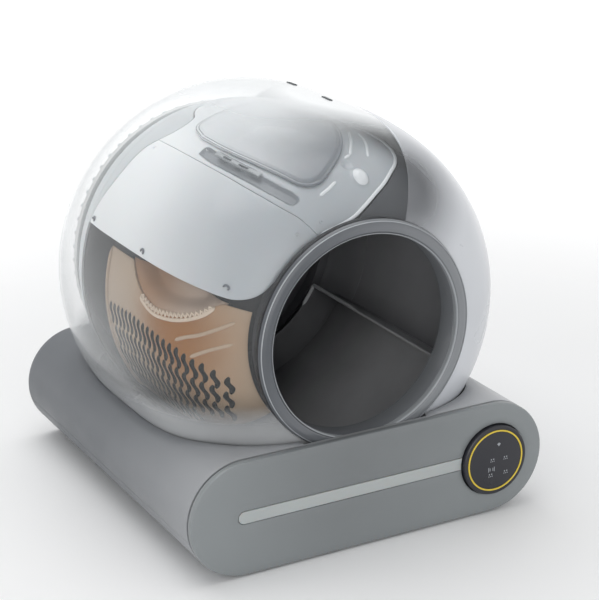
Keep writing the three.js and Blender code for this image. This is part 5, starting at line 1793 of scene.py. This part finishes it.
        # Finish 1 is the paler copy of the hood white: a painted highlight on the bead, the ribs
        # and the boss caps.
        shape.swept(bead, self.bead, flat=0.8, finish=1)
        for line in HOOD_RIBS:
            rib = DRUM_SKIN.place(DRUM_SKIN.along(line, 2 * MM))
            shape.swept(rib, 2.3 * MM, flat=0.7, finish=1)
        # A thin grey patch over the basin floor: painted shade in the recess.
        skinned(grown(basin, -1.2 * MM), 2.2 * MM, 2)
        # Paler caps on the bosses' tops: painted highlight.
        for place, reach, _ in bosses[:2]:
            cap = arc(place, reach - self.cap_inset, 0, 2 * math.pi, 25)
            skinned(even(cap, 1.6 * MM)[:-1], 1.6 * MM, 1)
        self.screws(shape, [(-18.5, -223)])
        mount(shape, "hood_high", Body.DRUM, "hood_white", ["hood_upper_panel"],
              ["hood_white", "hood_raised_highlight", "hood_basin_painted_shade"])

    def shell(self) -> None:
        """The dark lower and right shell with the ring round its mouth."""
        outline = DRUM_SKIN.outline(SHELL_EDGE, (SHELL_EDGE[-1][0], self.window_rear),
                                    (self.shell_low, self.window_rear),
                                    (self.shell_low, self.shell_front))
        shape = Shape()
        shape.panel(DRUM_SKIN, outline, WALL, spacing=6 * MM, inner_finish=1)
        mouth = rectangle(self.mouth_radius, self.mouth_radius + self.mouth_wall, DRUM_MOUTH_Y,
                          DRUM_MOUTH_Y + self.mouth_depth)
        shape.turned(mouth, about_y(), ROUND, soften=1.2 * MM)
        mount(shape, "drum_body", Body.DRUM, "drum_grey", ["drum_shell"],
              ["drum_grey", "drum_inside_painted_light"])

    def window(self) -> None:
        """The clear window in front of the sieve."""
        outline = DRUM_SKIN.outline(WINDOW_MOUTH, (WINDOW_MOUTH[-1][0], self.window_rear),
                                    (self.window_low, self.window_rear),
                                    (self.window_low, self.window_front))
        shape = Shape()
        shape.panel(DRUM_SKIN, outline, WALL, spacing=6 * MM)
        mount(shape, "drum_clear_side", Body.DRUM, "drum_clear", ["drum_window"])

    def rear(self) -> None:
        """The pale rear with its step and its lining, and the panel behind the hood."""
        front, step, seat = self.window_rear * MM + self.gap, DRUM_STEP_Y, self.step_radius
        rear, deep = self.rear_y, self.rear_y - self.rear_wall
        ys = np.linspace(front, step, 24)
        outer = np.column_stack([DRUM.radius_at(ys), ys])
        inner = np.column_stack([DRUM.radius_at(ys[:-1]) - WALL, ys[:-1]])[::-1]
        far, near, dish = self.dish_outer, self.dish_inner, self.dish_depth
        profile = [*outer, (seat, step), (seat, rear), (far, rear), (far - dish, rear - dish),
                   (near, rear - dish), (near - dish, rear), (0, rear), (0, deep),
                   (seat - WALL, deep), (seat - WALL, step - WALL),
                   (outer[-1][0] - WALL, step - WALL), *inner]
        shape = Shape()
        shape.turned(profile, about_y(), ROUND)
        ahead = front - 5 * MM
        around = WALL + self.lining_side
        side = [(float(DRUM.radius_at(ahead)) - around, ahead),
                *((float(r) - around, float(y)) for r, y in outer[:-1])]
        under, floor_y = WALL + self.lining_gap, deep - self.lining_gap
        lining = [*side, (outer[-1][0] - under, step - under), (seat - under, step - under),
                  (seat - under, floor_y), (0, floor_y)]
        within = [(max(0.0, r - self.lining), y - (self.lining if y > step - WALL * 2 else 0))
                  for r, y in lining]
        shape.turned([*lining, *within[::-1]], about_y(), 120, finish=1)
        outline = DRUM_SKIN.outline(REAR_EDGE, (REAR_EDGE[-1][0], self.window_rear),
                                    (REAR_EDGE[0][0], self.window_rear))
        shape.panel(DRUM_SKIN, outline, WALL, edge=0.5 * MM, inner_finish=1)
        mount(shape, "drum_rear", Body.DRUM, "drum_pale", ["drum_rear_shell"],
              ["drum_pale", "drum_inside_painted_light"])

    def track(self) -> None:
        """The ring that runs on the rollers, with a shallow groove."""
        inner, outer, rim = self.step_radius + self.gap, self.track_radius, self.track_rim
        groove, front, rear = outer - self.track_groove, self.track_front, self.track_rear
        shape = Shape()
        shape.turned([(inner, front), (outer, front), (groove, front + rim),
                      (groove, rear - rim), (outer, rear), (inner, rear)],
                     about_y(), ROUND, soften=0.4 * MM)
        mount(shape, "drum_track", Body.DRUM, "drum_pale", ["rear_track_ring"], ["bearing_white"])

    def liner(self) -> None:
        """The bowl that holds the litter, with painted light and shade, its rear wall and the rim
        along its right side.
        """
        start, end, rear = self.liner_start, self.liner_end, self.liner_rear_y / MM
        lift, rim, wall_y = self.liner_lift, self.liner_rim, self.liner_rear_y - WALL
        outline = DRUM_SKIN.outline((start, self.liner_front), (start, rear), (end, rear),
                                    (end, self.liner_front))
        shape = Shape()
        shape.panel(DRUM_SKIN, outline, WALL, lift=lift, spacing=7 * MM, edge=1 * MM)
        ways = np.radians(np.linspace(start, end, 60))
        radius = float(DRUM.radius_at(self.liner_rear_y)) + lift - self.gap
        outer, inner = (np.column_stack([r * np.sin(ways), AXIS_Z + r * np.cos(ways)])
                        for r in (radius, rim))
        shape.panel(front_plane(wall_y), np.vstack([outer, inner[::-1]]), WALL, spacing=8 * MM)
        ys = np.linspace(-222 * MM, wall_y, 50)
        reach = np.maximum(DRUM.radius_at(ys) + lift - self.gap, rim + 2 * MM)
        top = math.radians(start)
        side = Flat((0, 0, AXIS_Z), (0, 1, 0), (math.sin(top), 0, math.cos(top)))
        back = even(np.array([(ys[-1], rim), (ys[0], rim)]), 5 * MM)
        shape.panel(side, np.vstack([np.column_stack([ys, reach]), back]), WALL, lift=WALL,
                    spacing=8 * MM)
        turn = np.radians(np.linspace(start + 12, start + 1, 9))
        bend = np.column_stack([rim * np.sin(turn), np.full_like(turn, wall_y + WALL / 2),
                                AXIS_Z + rim * np.cos(turn)])
        ys = np.linspace(wall_y, self.bead_end, 14)
        run = np.column_stack([np.full_like(ys, rim * math.sin(top)), ys,
                               np.full_like(ys, AXIS_Z + rim * math.cos(top))])
        # The bead takes finish 1, a paler painted highlight along the rim.
        shape.swept(np.vstack([bend, run]), self.bead_radius, finish=1)
        mount(shape, "liner_bowl", Body.DRUM, "liner_dark", ["litter_liner"],
              ["liner_dark", "liner_rim"])


@dataclass
class Sieve:
    """The curved screen under the hood: wavy slots, a toothed mouth, ridges and a pocket."""

    inset: float = 12 * MM
    thickness: float = 2.0 * MM
    front_y: float = -213
    rear_y: float = 52
    margin: float = 12
    top: float = -72
    low: float = -128
    slot_length: float = 33 * MM
    slot_width: float = 7.6 * MM
    slot_wave: float = 2.0 * MM
    slot_waves: float = 1.35
    slot_pitch: float = 12.4
    row_step: float = 8.5
    first_row: float = 4.6
    rows: int = 4
    tooth: float = 3.0 * MM
    teeth_share: tuple[float, float] = (0.05, 0.76)
    lip_drop: float = 6.5 * MM
    pocket_depth: float = 20 * MM
    pocket_slope: float = 26 * MM

    def build(self) -> None:
        """Builds the screen, the lip of its mouth and the pocket behind that."""
        radius, front, rear = (size - self.inset
                               for size in (DRUM.radius, DRUM.front_reach, DRUM.rear_reach))
        self.skin = Skin(Bulge(radius, front, rear).profile(-214 * MM, 60 * MM))
        self.screen()
        self.lip()
        self.pocket()

    def slots(self) -> list[Array]:
        """Lays out the slots, in rows that follow the sloping upper limit.

        Returns:
            Their outlines.
        """
        ys, tops = np.array(SLOT_TOP).T
        outlines = []
        for row in range(self.rows):
            y = self.rear_y - self.margin - (row % 2) * self.slot_pitch / 2
            while y > self.front_y + self.margin:
                middle = float(np.interp(y, ys, tops)) - self.first_row - row * self.row_step
                if middle > self.low + 5:
                    outlines.append(self.slot(middle, y))
                y -= self.slot_pitch
        return outlines

    def slot(self, degrees: float, y: float) -> Array:
        """Draws one slot, a short wave with round ends.

        Args:
            degrees: The place of its middle from the top.
            y: The same along the axis, in millimetres.

        Returns:
            Its outline.
        """
        share = np.linspace(-1, 1, 15)
        run = share * self.slot_length / 2
        sway = self.slot_wave * np.sin(share * math.pi * self.slot_waves)
        half = self.slot_width / 2 * np.clip(1 - share ** 4, 0, 1) ** 0.5
        upper, lower = np.column_stack([run, sway + half]), np.column_stack([run, sway - half])
        return self.skin.flat([(degrees, y)])[0] + np.vstack([upper, lower[::-1][1:-1]])

    def screen(self) -> None:
        """The screen with its slots, its ridges and the rim at its rear."""
        outline = self.skin.outline((self.top, self.rear_y), (self.low, self.rear_y),
                                    (self.low, self.front_y), (self.top, self.front_y),
                                    SIEVE_MOUTH)
        shape = Shape()
        shape.panel(self.skin, outline, self.thickness, self.slots(), edge=0.5 * MM,
                    inner_finish=1)
        # The ridges take finish 2, a paler painted highlight.
        for line in SIEVE_RIDGES:
            ridge = self.skin.place(self.skin.along(line, 3 * MM), -0.3 * MM)
            shape.swept(ridge, 2.4 * MM, flat=0.7, finish=2)
        rear = self.rear_y - 1.5
        rim = even(self.skin.flat([(self.top - 0.6, rear), (self.low, rear)]), 5 * MM)
        shape.swept(self.skin.place(rim, -1.0 * MM), 2.2 * MM, flat=0.9)
        mount(shape, "sieve", Body.DRUM, "sieve_beige", ["sieve_screen"],
              ["sieve_beige", "sieve_shadow", "sieve_ridge_highlight"])

    def lip(self) -> None:
        """The toothed edge of the mouth with a smooth pale bead below it."""
        line = self.skin.along(SIEVE_MOUTH, 1.9 * MM)
        across = (moved_left(line, 1.0) - line)[1:-1]
        line = line[1:-1]
        middle = len(line) // 2
        if (self.skin.flat([(self.low, -80)])[0] - line[middle]) @ across[middle] > 0:
            across = -across
        share = np.linspace(0, 1, len(line))
        start, end = self.teeth_share
        kept = (share > start) & (share < end)
        teeth = self.tooth * np.array([0.0, 1.0, 0.0, -1.0])[np.arange(len(line)) % 4][:, None]
        edge = line + across * (teeth + 0.5 * MM)
        below = line - across * (self.lip_drop * np.sin(share * math.pi) ** 0.8)[:, None]
        shape = Shape()
        shape.swept(self.skin.place(edge[kept], -0.7 * MM), 1.7 * MM, sides=8,
                    flat=0.9)
        shape.swept(self.skin.place(below[kept], -0.5 * MM), 2.5 * MM, flat=0.8)
        mount(shape, "sieve_teeth", Body.DRUM, "sieve_beige", finishes=["sieve_lip"])

    def pocket(self) -> None:
        """The dished wall behind the mouth."""
        low = self.skin.along(SIEVE_MOUTH, 3 * MM)
        ends = self.skin.flat([SIEVE_MOUTH[-1], SIEVE_MOUTH[0]])
        outline = grown(np.vstack([low[:-1], even(ends, 3 * MM)[:-1]]), 3 * MM)

        def dished(flat: Array) -> Array:
            """How far the wall is sunk."""
            return -self.pocket_depth * eased(distance_to(flat, low) / self.pocket_slope)

        shape = Shape()
        shape.panel(self.skin, outline, 1.6 * MM, lift=-self.thickness - 0.6 * MM,
                    relief=dished, edge=0.4 * MM)
        mount(shape, "sieve_pocket", Body.DRUM, "sieve_beige", finishes=["pocket_brown"])


@dataclass
class PortDoor:
    """The sliding cover of the port, a plate with a raised middle, and its catch bar."""

    lift: float = 4.0 * MM
    thickness: float = 3.2 * MM
    step: float = 1.2 * MM
    border: float = 5 * MM
    groove: float = 0.6 * MM
    bar_lift: float = 3.2 * MM
    bar_thickness: float = 2.6 * MM
    slot_length: float = 18
    slot_starts: tuple[float, ...] = (-78, -112)
    slot_sides: tuple[float, float] = (0.3, 0.65)
    line_places: tuple[float, ...] = (0.12, 0.88)
    line_ends: tuple[float, float] = (-64, -146)

    def build(self) -> None:
        """Builds the plate and the catch bar."""
        self.plate()
        self.catch()

    def plate(self) -> None:
        """The plate, with two dark lines of painted shade along its outline."""
        door = door_loop()
        ring = np.vstack([door, door[:1]])

        def stepped(flat: Array) -> Array:
            """Shapes the raised middle and the groove round it.

            Args:
                flat: Flat places.

            Returns:
                How far the plate stands above its border there.
            """
            inner = distance_to(flat, ring)
            groove = eased(1 - np.abs(inner - self.border) / (2.2 * MM))
            return self.step * eased((inner - 6 * MM) / (3 * MM)) - self.groove * groove

        shape = Shape()
        shape.panel(DRUM_SKIN, door, self.thickness, lift=self.lift, spacing=2.4 * MM,
                    relief=stepped, edge=1.3 * MM)
        # Dark lines of painted shade, one in the groove and one near the edge.
        for inset, width in ((self.border, 0.75 * MM), (1.4 * MM, 0.5 * MM)):
            line = grown(door, -inset)
            line = even(np.vstack([line, line[:2]]), 3 * MM)
            shape.swept(DRUM_SKIN.place(line, -self.lift - stepped(line)), width, sides=8,
                        flat=0.5, finish=1)
        mount(shape, "door_plate", Body.DOOR, "hood_white", ["port_door"],
              ["door_painted_shade", "hook_grey_and_shadow_line"])

    def on_bar(self, ys: Array, share: float) -> Array:
        """Gives places on the catch bar.

        Args:
            ys: Their places along the axis, in millimetres.
            share: How far they lie from its left side to its right one.

        Returns:
            Rows of (degrees from the top, y in millimetres).
        """
        near, far = (np.interp(ys, *np.array(sorted((y, degrees) for degrees, y in side)).T)
                     for side in (CATCH_LEFT, CATCH_RIGHT))
        return np.column_stack([near * (1 - share) + far * share, ys])

    def catch(self) -> None:
        """The catch bar, with two slots and a dark line of painted shade beside each of its long
        sides.
        """
        holes = []
        for start in self.slot_starts:
            ys = np.linspace(start, start - self.slot_length, 5)
            low, high = (self.on_bar(ys, share) for share in self.slot_sides)
            holes.append(DRUM_SKIN.outline(low, high[::-1], spacing=1.5 * MM))
        shape = Shape()
        shape.panel(DRUM_SKIN, DRUM_SKIN.outline(CATCH_LEFT, CATCH_RIGHT, spacing=2 * MM),
                    self.bar_thickness, holes, lift=self.bar_lift, spacing=2 * MM, edge=0.6 * MM)
        # Dark lines of painted shade along the bar's long sides.
        for share in self.line_places:
            line = DRUM_SKIN.flat(self.on_bar(np.linspace(*self.line_ends, 12), share))
            shape.swept(DRUM_SKIN.place(line, -self.bar_lift), 0.5 * MM, sides=8, flat=0.6,
                        finish=1)
        mount(shape, "catch_bar", Body.DOOR, "clip_grey", ["door_catch_bar"],
              ["clip_grey", "hook_grey_and_shadow_line"])


@dataclass
class DriveTrain:
    """The motor, gears and rollers, which keep their CAD shapes."""

    nodes: tuple[str, ...] = ("roller_axle_left", "roller_axle_right", "gearbox", "drive_motor",
                              "ring_gear", "drum_roller_left", "drum_roller_right",
                              "drive_pinion")

    def build(self) -> None:
        """Dresses the drive."""
        dress(*self.nodes)


# The studio


def aimed(name: str, data: bpy.types.ID, place: Place, target: Place,
          roll: float = 0.0) -> bpy.types.Object:
    """Adds a camera or a lamp that looks at a point.

    Args:
        name: Its name.
        data: Its camera or light data.
        place: Where it stands.
        target: What it looks at.
        roll: How far it is turned about its line of sight, in degrees.

    Returns:
        The object.
    """
    made = bpy.data.objects.new(name, data)
    bpy.context.scene.collection.objects.link(made)
    facing = (Vector(target) - Vector(place)).to_track_quat("-Z", "Y").to_matrix().to_4x4()
    turn = Matrix.Rotation(math.radians(roll), 4, "Z")
    made.matrix_world = Matrix.Translation(place) @ facing @ turn
    return made


@dataclass
class Studio:
    """The camera of the photograph, the pale floor, the light and the white behind."""

    camera_place: Place = (-1.1111, -2.0943, 1.1019)
    camera_target: Place = (0.04159, 0.0, 0.24137)
    camera_roll: float = -0.28
    focal_pixels: float = 1842.1
    image_width: float = 599
    object_middle: Place = (0.0, 0.0, 0.25)
    floor_radius: float = 9.0
    floor_depth: float = 0.02
    floor_colour: Colour = (0.92, 0.925, 0.93, 1.0)
    white_from: tuple[float, float] = (0.55, 2.4)
    white: float = 0.6
    air: float = 0.56

    def camera(self) -> None:
        """Places the camera at the photograph's angle."""
        data = bpy.data.cameras.new("camera")
        data.sensor_fit = "HORIZONTAL"
        data.sensor_width = 36.0
        data.lens = self.focal_pixels * data.sensor_width / self.image_width
        data.clip_start, data.clip_end = 0.05, 60.0
        bpy.context.scene.camera = aimed("camera", data, self.camera_place, self.camera_target,
                                         self.camera_roll)

    def seen(self, tree: bpy.types.NodeTree) -> Socket:
        """Tells rays from the camera, a gloss or a clear body from those that carry light.

        Args:
            tree: Where its nodes go.

        Returns:
            One for the first kind, zero for the other.
        """
        path = tree.nodes.new("ShaderNodeLightPath")
        seen: Socket = path.outputs["Is Camera Ray"]
        for ray in ("Is Glossy Ray", "Is Transmission Ray"):
            most = tree.nodes.new("ShaderNodeMath")
            most.operation = "MAXIMUM"
            tree.links.new(seen, most.inputs[0])
            tree.links.new(path.outputs[ray], most.inputs[1])
            seen = most.outputs[0]
        return seen

    def floor(self) -> None:
        """A wide pale floor with a faint drift of tone, seen as white far from the object."""
        shape = Shape()
        shape.turned(rectangle(0, self.floor_radius, -self.floor_depth, 0), Matrix.Identity(4),
                     soften=0.004)
        made = shape.build("floor")
        kit = NodeKit("floor_paint")
        kit.hold(Emission_Color=(1.0, 1.0, 1.0, 1.0))
        kit.drive("Base Color", kit.mottled(self.floor_colour, drift=0.012, scale=0.8))
        kit.rough(kit.noise(3.0), low=0.62, high=0.72)
        away = kit.from_point((0.0, 0.0, 0.0))
        far = kit.remap(away, self.white_from, (0.0, self.white), smooth=True)
        seen = self.seen(kit.material.node_tree)
        kit.drive("Emission Strength", kit.maths("MULTIPLY", far, seen))
        made.data.materials.append(kit.material)

    def lamp(self, name: str, place: Place, size: float, power: float, target: Place) -> None:
        """Adds a soft square lamp that looks at a point.

        Args:
            name: Its name.
            place: Where it stands.
            size: The length of its side.
            power: Its power in watts.
            target: What it looks at.
        """
        data = bpy.data.lights.new(name, "AREA")
        data.size, data.energy = size, power
        aimed(name, data, place, target)

    def world(self) -> None:
        """White where it is seen, mirrored or looked through, and softer as light."""
        world = bpy.data.worlds.new("studio")
        world.use_nodes = True
        tree = world.node_tree
        tree.nodes.clear()
        strength = tree.nodes.new("ShaderNodeMapRange")
        tree.links.new(self.seen(tree), strength.inputs["Value"])
        strength.inputs["To Min"].default_value = self.air
        strength.inputs["To Max"].default_value = 1.0
        background = tree.nodes.new("ShaderNodeBackground")
        background.inputs["Color"].default_value = (1.0, 1.0, 1.0, 1.0)
        tree.links.new(strength.outputs[0], background.inputs["Strength"])
        output = tree.nodes.new("ShaderNodeOutputWorld")
        tree.links.new(background.outputs[0], output.inputs[0])
        bpy.context.scene.world = world

    def build(self) -> None:
        """Sets the studio up."""
        self.camera()
        self.floor()
        middle = self.object_middle
        self.lamp("overhead", (-0.2, 0.5, 2.6), size=2.4, power=34.0, target=middle)
        self.lamp("left", (-2.6, 0.3, 1.4), size=1.8, power=3.0, target=middle)
        self.lamp("front", (-0.9, -2.8, 0.9), size=1.6, power=16.0, target=(0.05, 0.0, 0.25))
        self.world()
        bpy.context.scene.view_settings.view_transform = "Standard"
        LOG.info("studio is ready")


def main() -> None:
    """Builds the studio and every sub-assembly."""
    logging.basicConfig(level=logging.INFO, format="%(name)s: %(message)s")
    for part in (Studio(), BaseHousing(), WasteDrawer(), ControlPod(), Globe(), Drum(), Sieve(),
                 PortDoor(), DriveTrain()):
        LOG.info("building %s", type(part).__name__)
        part.build()


if __name__ == "__main__":
    main()
